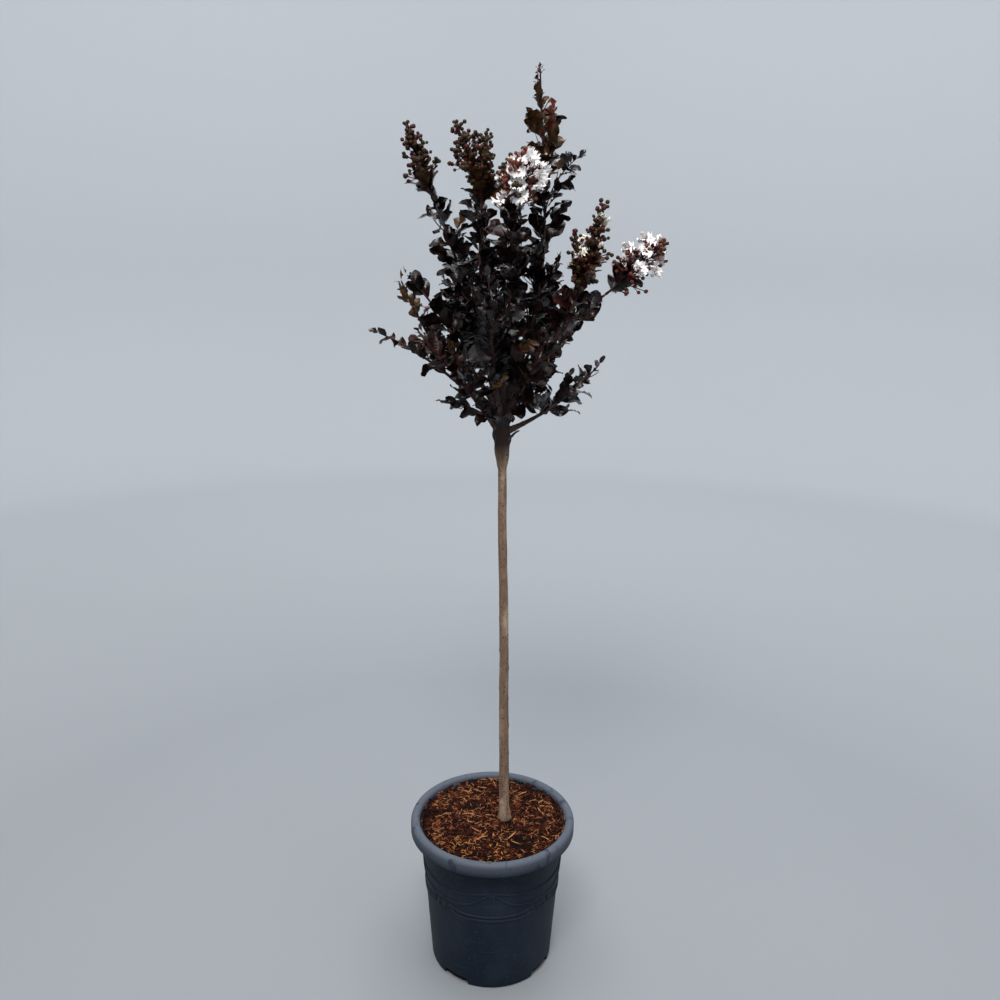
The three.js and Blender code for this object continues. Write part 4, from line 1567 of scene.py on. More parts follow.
        limb = Limb(
            path, 0.0, radius_at, shoot.rank, shoot.leaf, self.bearing_share if shoot.end else shoot.tip_leaf,
            shoot.mood.deal(random), self.stem_sides, self.stem_step,
        )
        self.curves[shoot.name] = path
        self.add_tube(self.limbs, limb, (1.0, 0.0))
        limb.start = bough_end + (self.gap if has_bough else self.clear_of_head) / path.length
        limb.bare, limb.spacing, limb.crowding = shoot.bare, shoot.spacing, shoot.crowding
        if shoot.end is None:
            limb.taper = shoot.taper
        return limb

    def twig_to(self, stem: Limb, share: float, direction: Vec, tip: Vec, rank: int, tint: Tint) -> Limb:
        """Draws a side twig that bends where it leaves its stem.

        Args:
            stem: The stem.
            share: Where the twig leaves it.
            direction: The direction in which it leaves.
            tip: Where it ends.
            rank: The rank of its first leaf.
            tint: The tint of its leaves.

        Returns:
            The twig.
        """
        root = stem.path.point(share)
        path = bent_path(root, direction, float(np.linalg.norm(tip - root)), tip)
        radii = (stem.radius_at(share) * self.twig_radius_share, self.twig_tip_radius)
        return Limb(
            path, 0.0, lambda along: lerp(*radii, along), rank, stem.leaf * self.twig_leaf,
            self.twig_tip_leaf, tint, self.twig_sides, self.fine_step,
        )

    def twigs_of(self, shoot: Shoot, stem: Limb, random: RandomStream) -> list[Limb]:
        """Draws a shoot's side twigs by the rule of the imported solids, and its long twigs.

        Args:
            shoot: The shoot.
            stem: Its own limb.
            random: The shoot's stream of numbers.

        Returns:
            The twigs.
        """
        tints = RandomStream(int(shoot.foot) * self.twig_tint_step + shoot.rank)
        leafy = stem.path.length * (1 - stem.start) * shoot.twigs_to
        count = int(leafy / self.twig_spacing)
        made = []
        for index in range(count):
            along = (index + 0.5) / (count + 0.5)
            share = lerp(stem.start, 1.0, along * shoot.twigs_to)
            rank = shoot.rank + index * 2
            turn = self.rank_turn(rank, self.twig_turn_jitter, random)
            angle = self.twig_angle + random.spread(self.twig_angle_spread / 2)
            direction = stem.path.branching_off(share, turn, angle)
            reach = lerp(*self.twig_reach, along) * shoot.twig * random.between(*self.twig_lengths)
            tip = stem.path.point(share) + direction * reach + UP * (self.twig_bend * shoot.twig)
            made.append(self.twig_to(stem, share, direction, tip, rank, shoot.mood.deal(tints)))
        for offshoot in shoot.offshoots:
            start, tip = offshoot.start, np.array(offshoot.tip, float)
            tangent = stem.path.tangent(start)
            direction = unit(tangent + square_to(tangent, tip - stem.path.point(start)) * offshoot.lean)
            twig = self.twig_to(stem, start, direction, tip, shoot.rank, shoot.mood.deal(tints))
            twig.spacing, twig.leaf = self.offshoot_spacing, twig.leaf * self.offshoot_leaf
            twig.tip_tint = offshoot.tip_tint
            made.append(twig)
        return made

    def sprigs_of(self, shoot: Shoot, limb: Limb, random: RandomStream) -> list[Limb]:
        """Draws the finer sprigs of a stem or twig, which stand between its twigs.

        Args:
            shoot: The shoot that the limb belongs to.
            limb: The limb that the sprigs leave.
            random: The stream of numbers for finer growth.

        Returns:
            The sprigs.
        """
        leafy = limb.path.length * (1 - limb.start)
        count = int(leafy / self.sprig_spacing)
        made = []
        for index in range(count):
            along = (index + self.sprig_start) / (count + 0.5)
            share = lerp(limb.start, 1.0, along)
            rank = limb.rank + 1 + index * 2
            turn = self.rank_turn(rank, self.sprig_turn_jitter, random)
            angle = self.sprig_angle + random.spread(self.sprig_angle_spread / 2)
            direction = limb.path.branching_off(share, turn, angle)
            size = limb.leaf_share((1 - share) * limb.path.length)
            reach = lerp(*self.sprig_reach, along) * random.between(*self.sprig_lengths) * math.sqrt(size)
            root = limb.path.point(share)
            tip = root + direction * reach + UP * self.sprig_bend
            path = bent_path(root, direction, reach, tip)
            made.append(Limb(
                path, 0.0, lambda place: lerp(*self.sprig_radii, place), rank,
                limb.leaf * self.sprig_leaf * size, self.sprig_tip_leaf, shoot.mood.deal(random),
                self.sprig_sides, self.fine_step,
            ))
        return made

    @staticmethod
    def in_reach(points: Iterable[Vec], axis: Vec, space: float) -> bool:
        """Returns whether every point lies within a distance of an axis given as points."""
        return all(float(np.linalg.norm(axis - point, axis=1).min()) < space for point in points)

    def try_limb(self, limb: Limb, axis: Vec, space: float) -> bool:
        """Grows a twig or sprig where it has room.

        Args:
            limb: The limb.
            axis: Points of the shoot's line.
            space: How far from them the limb may reach.

        Returns:
            Whether it grew.
        """
        samples = max(3, int(limb.path.length / self.limb_test_step))
        shares = [lerp(self.limb_room_from, 1.0, sample / samples) for sample in range(samples + 1)]
        points = [limb.path.point(share) for share in shares]
        if not self.in_reach(points, axis, space) or not self.space.is_free(points, self.limb_room):
            return False
        if not self.gaps.are_clear_of(points[len(points) // 2 :]):
            return False
        self.add_tube(self.twigs, limb, self.twig_ages)
        return True

    def leaves_along(self, limb: Limb, random: RandomStream) -> list[tuple[Place, Vec, Tint]]:
        """Sets out the leaves that a limb would carry, smaller towards its tip.

        Args:
            limb: The limb.
            random: The stream of numbers for leaves.

        Returns:
            Each leaf's place, the limb's direction there and the leaf's tint.
        """
        path, made = limb.path, []
        start, last = max(limb.start, self.leaves_from) * path.length, path.length - limb.bare
        count = max(2, round((last - start) / limb.spacing))
        for index in range(count + 1):
            is_last = index == count
            to_last = (1 - (index + 0.5) / (count + 0.5)) ** limb.crowding
            distance = lerp(last, start, to_last) - (self.end_leaf_gap if is_last else 0.0)
            share = distance / path.length
            taper = limb.leaf_share(path.length - distance)
            angle = self.end_leaf_angle
            if not is_last:
                angle = self.leaf_angle + random.spread(self.leaf_angle_spread / 2)
            turn = self.rank_turn(limb.rank + index, self.leaf_turn_jitter, random)
            direction = path.branching_off(share, turn, angle)
            tangent = path.tangent(share)
            upper = turned(tangent + UP * self.leaf_lift, direction, random.spread(self.leaf_roll))
            size = self.leaf_length * limb.leaf * taper * random.between(*self.leaf_lengths)
            root = path.point(share) + direction * (limb.radius_at(share) * self.leaf_inset)
            place = Place(root, direction, upper, size, int(random() * self.forms.count))
            made.append((place, tangent, limb.tint_at(path.length - distance)))
        return made

    def aged(self, shoot: Shoot, place: Place, tint: Tint) -> Tint:
        """Returns a leaf's tint: a bronzed shoot is bronze near its tip and dark further down."""
        is_old = float(np.linalg.norm(place.root - np.array(shoot.tip, float))) > self.young_reach
        return Tint.DARK if is_old and shoot.mood is Mood.BRONZED and tint is Tint.BRONZE else tint

    def leaf_points(self, place: Place) -> list[Vec]:
        """Takes points of a leaf's blade, for the test of its room.

        Args:
            place: The leaf.

        Returns:
            Points along its midrib and one to each side.
        """
        up = square_to(place.direction, place.upper)
        across = np.cross(place.direction, up)
        points = [place.root + place.direction * (place.size * share) for share in self.tested_shares]
        return points + [points[0] + across * (place.size * self.tested_side * side) for side in (-1, 1)]

    def grow(self) -> None:
        """Grows every shoot: first all stems, then twigs and sprigs, then leaves in rounds."""
        stems = [
            self.stem_of(shoot, RandomStream(self.tint_seed + index * self.tint_seed_step))
            for index, shoot in enumerate(SHOOTS)
        ]
        queues = []
        for index, (shoot, stem) in enumerate(zip(SHOOTS, stems, strict=True)):
            random = RandomStream(self.stem_seed + index * self.stem_seed_step)
            fine = RandomStream(self.fine_seed + index * self.fine_seed_step)
            axis = np.array([stem.path.point(step / self.axis_steps) for step in range(self.axis_steps + 1)])
            limbs = [stem]
            twigs = self.twigs_of(shoot, stem, random)
            limbs += [twig for twig in twigs if self.try_limb(twig, axis, shoot.space)]
            for limb in list(limbs):
                sprigs = self.sprigs_of(shoot, limb, fine)
                limbs += [sprig for sprig in sprigs if self.try_limb(sprig, axis, shoot.space)]
            leaves = [leaf for limb in limbs for leaf in self.leaves_along(limb, fine)]
            leaves = [(place, tangent, self.aged(shoot, place, tint)) for place, tangent, tint in leaves]
            queues.append((leaves, axis, shoot.space))
        for turn in range(max(len(leaves) for leaves, _, _ in queues)):
            for leaves, axis, space in queues:
                if turn < len(leaves):
                    self.add_leaf(*leaves[turn], axis, space)

    def add_leaf(self, place: Place, tangent: Vec, tint: Tint, axis: Vec, space: float) -> None:
        """Adds a leaf where it has room, turned round its limb out of a gap if it would stand in one.

        Args:
            place: The leaf.
            tangent: Its limb's direction at its foot.
            tint: Its tint.
            axis: Points of the shoot's line.
            space: How far from them the leaf may reach.
        """
        for turn in self.leaf_turns:
            angle = math.radians(turn)
            direction, upper = (turned(part, tangent, angle) for part in (place.direction, place.upper))
            size = place.size if turn == 0 else place.size * self.turned_leaf
            tried = Place(place.root, direction, upper, size, place.shape)
            points = self.leaf_points(tried)
            if not self.gaps.are_clear_of(points):
                continue
            room = self.leaf_room * min(1.0, size / self.roomy_leaf)
            if self.in_reach(points, axis, space) and self.space.is_free(points, room):
                self.space.take(points, room)
                self.leaves[tint].append(tried)
                return
            if turn == 0:
                return

    def build(self, scatter: Scatter) -> None:
        """Makes the crown's pieces.

        Args:
            scatter: What sets out the leaves.
        """
        limbs = shown("shoot_limbs", self.limbs.mesh("shoot_limbs", "age"), SHOOT_FINISH.material())
        hold(limbs, "bough", *self.bough_nodes, *self.foliage_nodes)
        twigs = shown("side_twigs", self.twigs.mesh("side_twigs", "age"), SHOOT_FINISH.material())
        hold(twigs, "bough", *self.foliage_nodes)
        shapes = self.forms.meshes()
        for tint, places in self.leaves.items():
            if places:
                name = f"leaves_{tint.name.lower()}"
                piece = scatter.piece(name, places, shapes, tint.value.material())
                slot = "bronze_leaf" if tint is Tint.BRONZE else "dark_leaf"
                hold(piece, slot, *self.foliage_nodes)


# Panicles


@dataclass(frozen=True)
class Petal:
    """One crinkled petal: a ruffled fan on a thin claw, in shares of the flower's radius."""

    lift: float
    reach: float
    width: float
    phase: float
    claw: float = 0.3
    claw_width: float = 0.03
    fan: Pair = (0.1, 0.62)
    lift_growth: float = 1.4
    shortening: float = 0.2
    crinkle: float = 0.17
    waves_across: Pair = (7.0, 13.0)
    waves_along: Pair = (8.0, 9.0)
    finer_crinkle: float = 0.8
    rim_wave: Pair = (0.07, 9.0)
    rounding: float = 0.16

    def place(self, row: float, side: float) -> Triple:
        """Finds a place on the petal.

        Args:
            row: How far out it is, from 0 at the flower's middle to 1 at the rim.
            side: How far to the side it is, from -1 to 1.

        Returns:
            How far it stands out, to the side and up.
        """
        blade = max(0.0, (row - self.claw) / (1 - self.claw))
        half = self.claw_width
        if blade > 0:
            half += self.width * math.sin(math.pi * (self.fan[0] + self.fan[1] * blade))
        crinkle = math.sin(self.waves_across[0] * side + self.phase + self.waves_along[0] * row)
        finer = math.sin(self.waves_across[1] * side - self.phase - self.waves_along[1] * row)
        crinkle += self.finer_crinkle * finer
        height = self.lift * row**self.lift_growth
        height += self.crinkle * min(1.0, blade * 2) * (0.5 + abs(side)) * crinkle
        rim = self.rim_wave[0] * math.sin(self.rim_wave[1] * side + self.phase) - self.rounding * side**2
        length = row * self.reach * (1 - self.shortening * self.lift) + blade * rim
        return length, side * half, height


@dataclass
class FlowerShapes:
    """Buds and the parts of a flower, each in a few forms, one unit in radius and looking along Y."""

    forms: int = 8
    bud_forms: int = 3
    sides: int = 12
    bud_seed: int = 70
    bud_profile: tuple[Pair, ...] = (
        (0.28, 0.0), (0.72, 0.3), (0.97, 0.78), (0.93, 1.3), (0.62, 1.74), (0.22, 1.95), (0.04, 2.08),
    )
    bud_widths: Pair = (0.92, 1.08)
    bud_rib: float = 0.07
    petals: int = 6
    petal_seed: int = 160
    petal_turn: float = 0.25
    petal_spans: tuple[Pair, ...] = ((-0.15, 0.85), (0.76, 1.03), (0.42, 0.58), (0.0, 6.28))
    petal_rows: tuple[float, ...] = (0.08, 0.3, 0.42, 0.56, 0.7, 0.85, 1.0)
    petal_columns: int = 9
    stamen_count: int = 14
    stamen_seed: int = 260
    stamen_lean: float = 0.16
    stamen_fan: float = 0.3
    stamen_span: float = 16.0
    stamen_lengths: Pair = (0.2, 0.34)
    stamen_tip: tuple[Pair, ...] = ((0.0, 0.01), (0.012, 0.026), (0.05, 0.01))
    stamen_foot: float = 0.012
    stamen_side: Triple = (1.0, 0.2, 0.0)
    stamen_sides: int = 4
    calyx_seed: int = 360
    lobes: Pair = (0.26, 0.34)
    cup: tuple[Pair, ...] = ((0.06, -0.3), (0.15, -0.22), (0.19, -0.06), (0.18, 0.04), (0.14, -0.02))
    lobed_ring: int = 3

    def bud(self, index: int) -> Mesh:
        """Makes a round bud with six low ribs and a small point.

        Args:
            index: The form's number.

        Returns:
            The mesh, whose foot is at the origin.
        """
        random = RandomStream(self.bud_seed + index)
        width = random.between(*self.bud_widths)
        rings = []
        for radius, height in self.bud_profile:
            radii = [radius * width * (1 + self.bud_rib * (corner % 2)) for corner in range(self.sides)]
            rings.append(ring_round(NORTH * height, NORTH, EAST, radii))
        return tube_mesh(f"bud_form_{index}", rings)

    def corolla(self, index: int) -> Mesh:
        """Makes the petals of one flower.

        Args:
            index: The form's number.

        Returns:
            The mesh.
        """
        random = RandomStream(self.petal_seed + index)
        stock = MeshStock()
        last = self.petal_columns - 1
        for number in range(self.petals):
            around = 2 * math.pi * number / self.petals + random.spread(self.petal_turn)
            out = np.array([math.cos(around), 0.0, math.sin(around)])
            across = np.cross(NORTH, out)
            petal = Petal(*(random.between(*span) for span in self.petal_spans))
            corners = []
            for row in self.petal_rows:
                for column in range(self.petal_columns):
                    length, side, height = petal.place(row, column / last * 2 - 1)
                    corners.append(out * length + across * side + NORTH * height)
            stock.add(corners, grid_faces(len(self.petal_rows), self.petal_columns))
        return stock.mesh(f"corolla_form_{index}")

    def stamens(self, index: int) -> Mesh:
        """Makes the tuft of stamens in a flower's middle.

        Args:
            index: The form's number.

        Returns:
            The mesh.
        """
        random = RandomStream(self.stamen_seed + index)
        stock = MeshStock()
        for stamen in range(self.stamen_count):
            around = math.radians(GOLDEN_ANGLE * stamen)
            lean = self.stamen_lean + self.stamen_fan * (stamen / self.stamen_span)
            way = unit(np.array([math.cos(around) * lean, 1.0, math.sin(around) * lean]))
            length = random.between(*self.stamen_lengths)
            line = [(0.0, self.stamen_foot), *((length + place, radius) for place, radius in self.stamen_tip)]
            stock.add_rings([
                ring_round(way * place, way, self.stamen_side, [radius] * self.stamen_sides)
                for place, radius in line
            ])
        return stock.mesh(f"stamen_form_{index}")

    def calyx(self, index: int) -> Mesh:
        """Makes the cup under a flower, with six pointed lobes.

        Args:
            index: The form's number.

        Returns:
            The mesh.
        """
        lobe = RandomStream(self.calyx_seed + index).between(*self.lobes)
        rings = []
        for ring, (radius, height) in enumerate(self.cup):
            tip = lobe if ring == self.lobed_ring else radius
            rings.append(ring_round(NORTH * height, NORTH, EAST, [tip, radius] * (self.sides // 2)))
        return tube_mesh(f"calyx_form_{index}", rings)


@dataclass(frozen=True)
class Spire:
    """One spire of a panicle.

    Attributes:
        path: The line of its stem.
        width: Its width.
        bloom: Its state.
        opened: The share of its main stalks that bear flowers.
        warmth: The share of its buds that are red.
    """

    path: Path
    width: float
    bloom: Bloom
    opened: float
    warmth: float


@dataclass
class Panicles:
    """The panicles: a stem each, stalks by the rule of the solids and finer ones between them."""

    crown: Crown
    main_seed: int = 9000
    main_seed_step: int = 131
    finer_seed: int = 12000
    finer_seed_step: int = 57
    bract_seed: int = 15000
    stem_radii: Pair = (1.9, 0.7)
    stem_sides: int = 8
    stem_step: float = 6.0
    least_steps: int = 6
    straight_share: float = 0.3
    spire_side: Triple = (1.0, 0.3, 0.0)
    cad_stalks: int = 17
    cad_bud_radius: float = 5.2
    base_share: float = 0.1
    bare_foot: float = 0.2
    leafy_foot: float = 0.26
    side_width: float = 0.55
    side_bloom: float = 0.5
    finer: int = 2
    finer_bud: int = 3
    finer_bloom: float = 0.4
    finer_turn: float = 68.0
    finer_width: float = 0.86
    angles: Pair = (66.0, 42.0)
    finer_angles: Pair = (44.0, 20.0)
    stalk_spread: Pair = (0.6, 1.0)
    blossom_spread: Pair = (0.75, 1.15)
    inner_spread: Pair = (0.35, 1.0)
    bulge_start: float = 0.25
    bud_bulge: float = 1.5
    narrowest: float = 0.22
    top_drop: float = 3.0
    top_reach: float = 5.0
    warmths: Triple = (0.24, 0.36, 0.65)
    outer_warmth: float = 0.5
    inner_warmth: float = 1.3
    stalk_radii: Pair = (0.95, 0.6)
    stalk_sides: int = 6
    stalk_steps: int = 3
    bud_radius: float = 3.1
    bud_sizes: Pair = (0.8, 1.15)
    bud_inset: float = 1.2
    bud_room: float = 1.6
    end_warmth: float = 0.6
    long_stalk: float = 18.0
    pair_share: float = 0.86
    pair_step: float = 0.3
    missing: float = 0.16
    side_turn: float = 25.0
    side_lean: float = 0.8
    side_lengths: Pair = (4.5, 7.0)
    side_growth: float = 1.5
    side_lift: float = 1.5
    side_radii: Pair = (0.6, 0.45)
    side_steps: int = 2
    side_upturn: float = 0.5
    side_sizes: Pair = (0.7, 1.0)
    side_warmth: float = 1.4
    flower_radius: float = 14.5
    flower_sizes: Pair = (0.8, 1.08)
    flower_room: float = 0.4
    flower_inset: float = 0.28
    flower_stalk: Pair = (0.95, 0.7)
    flower_turn: float = 0.3
    flower_step: float = 7.31
    flower_reach: float = 0.9
    flowers_to: float = 0.9
    lowest_flower: float = -0.05
    mixed_from: float = 0.28
    mixed_size: float = 0.8
    bract_lengths: Pair = (38.0, 9.0)
    bract_sizes: Pair = (0.75, 1.2)
    bract_share: Pair = (0.95, 0.3)
    bract_drop: float = 0.97
    bract_angles: Pair = (44.0, 24.0)
    bract_jitter: Pair = (25.0, 12.0)
    bract_roll: float = 0.9
    bracts_to: float = 0.85
    bract_pairs_to: float = 0.5
    open_bracts: float = 0.3
    open_bracts_from: float = 0.2

    def __post_init__(self) -> None:
        """Starts with nothing grown."""
        self.stalks = MeshStock()
        self.buds: dict[Finish, list[Place]] = {BUD_OLIVE: [], BUD_CRIMSON: [], BUD_RED: []}
        self.blush = BUD_CRIMSON
        self.white: list[Place] = []
        self.cream: list[Place] = []
        self.shapes = FlowerShapes()
        self.room = Space()

    def spire_line(self, stem: Path, top: Vec) -> Path:
        """Draws the line of a spire's stem.

        Args:
            stem: The stem of the shoot that it ends.
            top: Its top.

        Returns:
            The line.
        """
        foot, tangent = stem.point(1.0), stem.tangent(1.0)
        side = np.cross(tangent, top - foot)
        if np.linalg.norm(side) < SMALL:
            side = np.cross(tangent, self.spire_side)
        straight = tangent * (float(np.linalg.norm(top - foot)) * self.straight_share)
        return Path(bezier(foot, foot + straight, top), unit(side))

    def add_tube(self, path: Path, radii: Pair, sides: int, steps: int) -> None:
        """Adds a stem or stalk.

        Args:
            path: Its line.
            radii: Its radius at its foot and at its end.
            sides: The corners of its rings.
            steps: The stretches between its rings.
        """
        rings = []
        for step in range(steps + 1):
            share = step / steps
            radius = lerp(*radii, share)
            rings.append(ring_round(path.point(share), path.tangent(share), path.side, [radius] * sides))
        self.stalks.add_rings(rings)

    def add_bud(self, centre: Vec, way: Vec, size: float, random: RandomStream, warmth: float) -> None:
        """Adds a bud whose foot stands at a point.

        Args:
            centre: The bud's foot.
            way: The way it points.
            size: Its radius.
            random: The panicle's stream of numbers.
            warmth: The share of buds that are red.
        """
        shape = int(random() * self.shapes.bud_forms)
        place = Place(centre, way, np.cross(way, BUD_UPPER), size, shape)
        self.buds[self.blush if random() < warmth else BUD_OLIVE].append(place)

    def cyme(self, root: Vec, way: Vec, end: Vec, random: RandomStream, warmth: float) -> None:
        """Adds a stalk with a bud at its end and side buds on short stalks below it.

        Args:
            root: Where the stalk leaves the stem.
            way: The stalk's direction.
            end: Where the stalk ends.
            random: The panicle's stream of numbers.
            warmth: The share of buds that are red.
        """
        side = unit(np.cross(way, STALK_SIDE))
        reach = float(np.linalg.norm(end - root))
        stalk = Path(bent_line(root, way, reach, end), side)
        self.add_tube(stalk, self.stalk_radii, self.stalk_sides, self.stalk_steps)
        size = self.bud_radius * random.between(*self.bud_sizes)
        self.add_bud(end, way, size, random, warmth * self.end_warmth)
        for pair in range(1 if reach < self.long_stalk else 2):
            start = root + (end - root) * (self.pair_share - self.pair_step * pair)
            for turn in (90.0 * pair, 90.0 * pair + 180.0):
                if random() < self.missing:
                    continue
                out = turned(side, way, math.radians(turn + random.spread(self.side_turn)))
                bend = unit(way + out * self.side_lean)
                length = random.between(*self.side_lengths) + self.side_growth * pair
                tip = start + bend * length + way * self.side_lift
                stalk = Path(bent_line(start, bend, length, tip), unit(np.cross(bend, UP + side)))
                self.add_tube(stalk, self.side_radii, self.stalk_sides, self.side_steps)
                size = self.bud_radius * random.between(*self.side_sizes)
                looks = unit(bend + way * self.side_upturn)
                self.add_bud(tip, looks, size, random, warmth * self.side_warmth)

    def flower(self, root: Vec, way: Vec, end: Vec, bloom: Bloom, random: RandomStream) -> bool:
        """Adds an open flower on its stalk where it has room.

        Args:
            root: Where the stalk leaves the stem.
            way: The stalk's direction.
            end: The flower's middle.
            bloom: The panicle's state, for the petals' colour.
            random: The panicle's stream of numbers.

        Returns:
            Whether it grew.
        """
        is_mixed = bloom is Bloom.MIXED
        share = self.mixed_size if is_mixed else 1.0
        size = self.flower_radius * random.between(*self.flower_sizes) * share
        room = size * self.flower_room
        if way[2] < self.lowest_flower or not self.room.is_free([end], room):
            return False
        self.room.take([end], room)
        line = bezier(root, (root + end) / 2, end - way * (size * self.flower_inset))
        stalk = Path(line, unit(np.cross(way, STALK_SIDE)))
        self.add_tube(stalk, self.flower_stalk, self.stalk_sides, self.stalk_steps)
        looks = unit(way + np.array([random.spread(self.flower_turn) for _ in range(3)]))
        place = Place(end, looks, np.cross(looks, FLOWER_UPPER), size, int(random() * self.shapes.forms))
        (self.cream if is_mixed else self.white).append(place)
        return True

    def grow_one(self, shoot: Shoot, index: int) -> None:
        """Grows the panicle of one shoot.

        Args:
            shoot: The shoot.
            index: Its number among the shoots.
        """
        end = shoot.end
        random = RandomStream(self.main_seed + index * self.main_seed_step)
        fine = RandomStream(self.finer_seed + index * self.finer_seed_step)
        leafy = RandomStream(self.bract_seed + index)
        warmth = self.warmths[list(Bloom).index(end.bloom)]
        self.blush = BUD_RED if end.bloom is Bloom.BLOSSOM else BUD_CRIMSON
        for number, top in enumerate((end.top, *end.side_spires)):
            path = self.spire_line(self.crown.curves[shoot.name], np.array(top, float))
            steps = max(self.least_steps, round(path.length / self.stem_step))
            self.add_tube(path, self.stem_radii, self.stem_sides, steps)
            width, opened = (1.0, 1.0) if number == 0 else (self.side_width, self.side_bloom)
            spire = Spire(path, end.width * width, end.bloom, end.bloom.value * opened, warmth)
            self.add_stalks(spire, random if number == 0 else fine, fine, shoot, leafy)

    def add_stalks(
        self, spire: Spire, main: RandomStream, fine: RandomStream, shoot: Shoot, leafy: RandomStream
    ) -> None:
        """Adds a spire's main stalks with their bracts and the finer ones between them.

        Args:
            spire: The spire.
            main: The stream of numbers for main stalks.
            fine: The stream of numbers for finer stalks.
            shoot: The shoot that the spire ends.
            leafy: The stream of numbers for bracts.
        """
        is_bud = spire.bloom is Bloom.BUD
        for stalk in range(self.cad_stalks + 1):
            along, turn = stalk / self.cad_stalks, GOLDEN_ANGLE * stalk
            if not is_bud or along > self.bare_foot:
                self.add_stalk(spire, along, turn, main, True)
            for extra in (0.0, 180.0) if along < self.bract_pairs_to else (0.0,):
                self.add_bract(spire.path, along, turn + extra, shoot, leafy)
        is_dense = is_bud and not shoot.end.side_spires
        count = self.cad_stalks * (self.finer_bud if is_dense else self.finer)
        for stalk in range(count):
            along = (stalk + 0.5) / count
            if not is_bud or along >= self.leafy_foot:
                self.add_stalk(spire, along, GOLDEN_ANGLE * stalk * 0.5 + self.finer_turn, fine, False)

    def add_bract(self, path: Path, along: float, turn: float, shoot: Shoot, random: RandomStream) -> None:
        """Adds the small leaf under a stalk to the crown's leaves.

        Args:
            path: The spire's stem.
            along: The stalk's place from the lowest to the topmost one, from 0 to 1.
            turn: Its turn round the stem in degrees.
            shoot: The shoot. One in blossom keeps few of these leaves, in its own tints.
            random: The stream of numbers.
        """
        is_open = shoot.end.bloom is Bloom.BLOSSOM
        kept = self.open_bracts if is_open and along > self.open_bracts_from else 1.0
        is_kept = random() < lerp(*self.bract_share, along) * kept
        tint = (shoot.mood if is_open else Mood.BRACTS).deal(random)
        if not is_kept or along > self.bracts_to:
            return
        share = lerp(self.base_share, 1.0, along) * self.bract_drop
        turn += random.spread(self.bract_jitter[0])
        angle = lerp(*self.bract_angles, along) + random.spread(self.bract_jitter[1])
        direction = path.branching_off(share, turn, angle)
        upper = path.tangent(share) + UP * self.crown.leaf_lift
        upper = turned(upper, direction, random.spread(self.bract_roll))
        size = lerp(*self.bract_lengths, along) * random.between(*self.bract_sizes)
        place = Place(path.point(share), direction, upper, size, int(random() * self.crown.forms.count))
        self.crown.leaves[tint].append(place)

    def add_stalk(self, spire: Spire, along: float, turn: float, random: RandomStream, is_main: bool) -> None:
        """Adds one stalk with its flower or buds.

        Args:
            spire: The spire.
            along: The stalk's place from the lowest to the topmost one, from 0 to 1.
            turn: Its turn round the stem in degrees.
            random: The stream of numbers.
            is_main: Whether it is one of the stalks that the solids have too.
        """
        is_top, bloom = along >= 1.0, spire.bloom
        share = lerp(self.base_share, 1.0, along) - (self.top_drop / spire.path.length if is_top else 0.0)
        root = spire.path.point(share)
        chance, phase = (spire.opened, 0.0) if is_main else (spire.opened * self.finer_bloom, 0.5)
        lowest = self.mixed_from if bloom is Bloom.MIXED else 0.0
        is_drawn = (along * self.flower_step + phase) % 1.0 < chance
        is_flower = is_drawn and lowest <= along < self.flowers_to
        bulge = math.sin(math.pi * min(1.0, self.bulge_start + along * (1 - self.bulge_start)))
        if bloom is not Bloom.BLOSSOM:
            bulge **= self.bud_bulge
        width = spire.width * (1.0 if is_main else self.finer_width)
        full = (width / 2 - self.cad_bud_radius) * max(self.narrowest, bulge)
        spread = self.stalk_spread if is_main else self.inner_spread
        reach = full * random.between(*(self.blossom_spread if bloom is Bloom.BLOSSOM else spread))
        if is_top:
            reach = self.top_reach
        angles = self.angles if is_main else self.finer_angles
        way = spire.path.branching_off(share, turn, 0.0 if is_top else lerp(*angles, along))
        end = root + way * reach
        if is_flower and self.flower(root, way, root + way * (reach * self.flower_reach), bloom, random):
            return
        if not is_top and not self.room.is_free([end], self.bud_room):
            return
        self.room.take([end], self.bud_room)
        warmth = spire.warmth * (self.outer_warmth if is_main else self.inner_warmth)
        self.cyme(root, way, end - way * (self.bud_radius * self.bud_inset), random, warmth)

    def grow(self) -> None:
        """Grows every panicle."""
        for index, shoot in enumerate(SHOOTS):
            if shoot.end:
                self.grow_one(shoot, index)

    def build(self, scatter: Scatter) -> None:
        """Makes the panicles' pieces.

        Args:
            scatter: What sets out buds and flowers.
        """
        nodes = [f"panicle_{shoot.name}" for shoot in SHOOTS if shoot.end]
        stalks = shown("panicle_stalks", self.stalks.mesh("panicle_stalks", "age"), SHOOT_FINISH.material())
        hold(stalks, "bud", *nodes)
        shapes, flowers = self.shapes, self.white + self.cream
        buds = [shapes.bud(index) for index in range(shapes.bud_forms)]
        parts = (shapes.corolla, shapes.stamens, shapes.calyx)
        corollas, stamens, calyces = ([part(index) for index in range(shapes.forms)] for part in parts)
        pieces = (
            ("buds_olive", self.buds[BUD_OLIVE], buds, BUD_OLIVE, "bud"),
            ("buds_crimson", self.buds[BUD_CRIMSON], buds, BUD_CRIMSON, "bud"),
            ("buds_red", self.buds[BUD_RED], buds, BUD_RED, "bud"),
            ("petals_white", self.white, corollas, WHITE_PETALS, "blossom"),
            ("petals_cream", self.cream, corollas, CREAM_PETALS, "blossom"),
            ("flower_stamens", flowers, stamens, STAMEN_FINISH, "blossom"),
            ("flower_calyces", flowers, calyces, CALYX_FINISH, "bud"),
        )
        for name, places, forms, finish, slot in pieces:
            if places:
                hold(scatter.piece(name, places, forms, finish.material()), slot, *nodes)


# Trunk


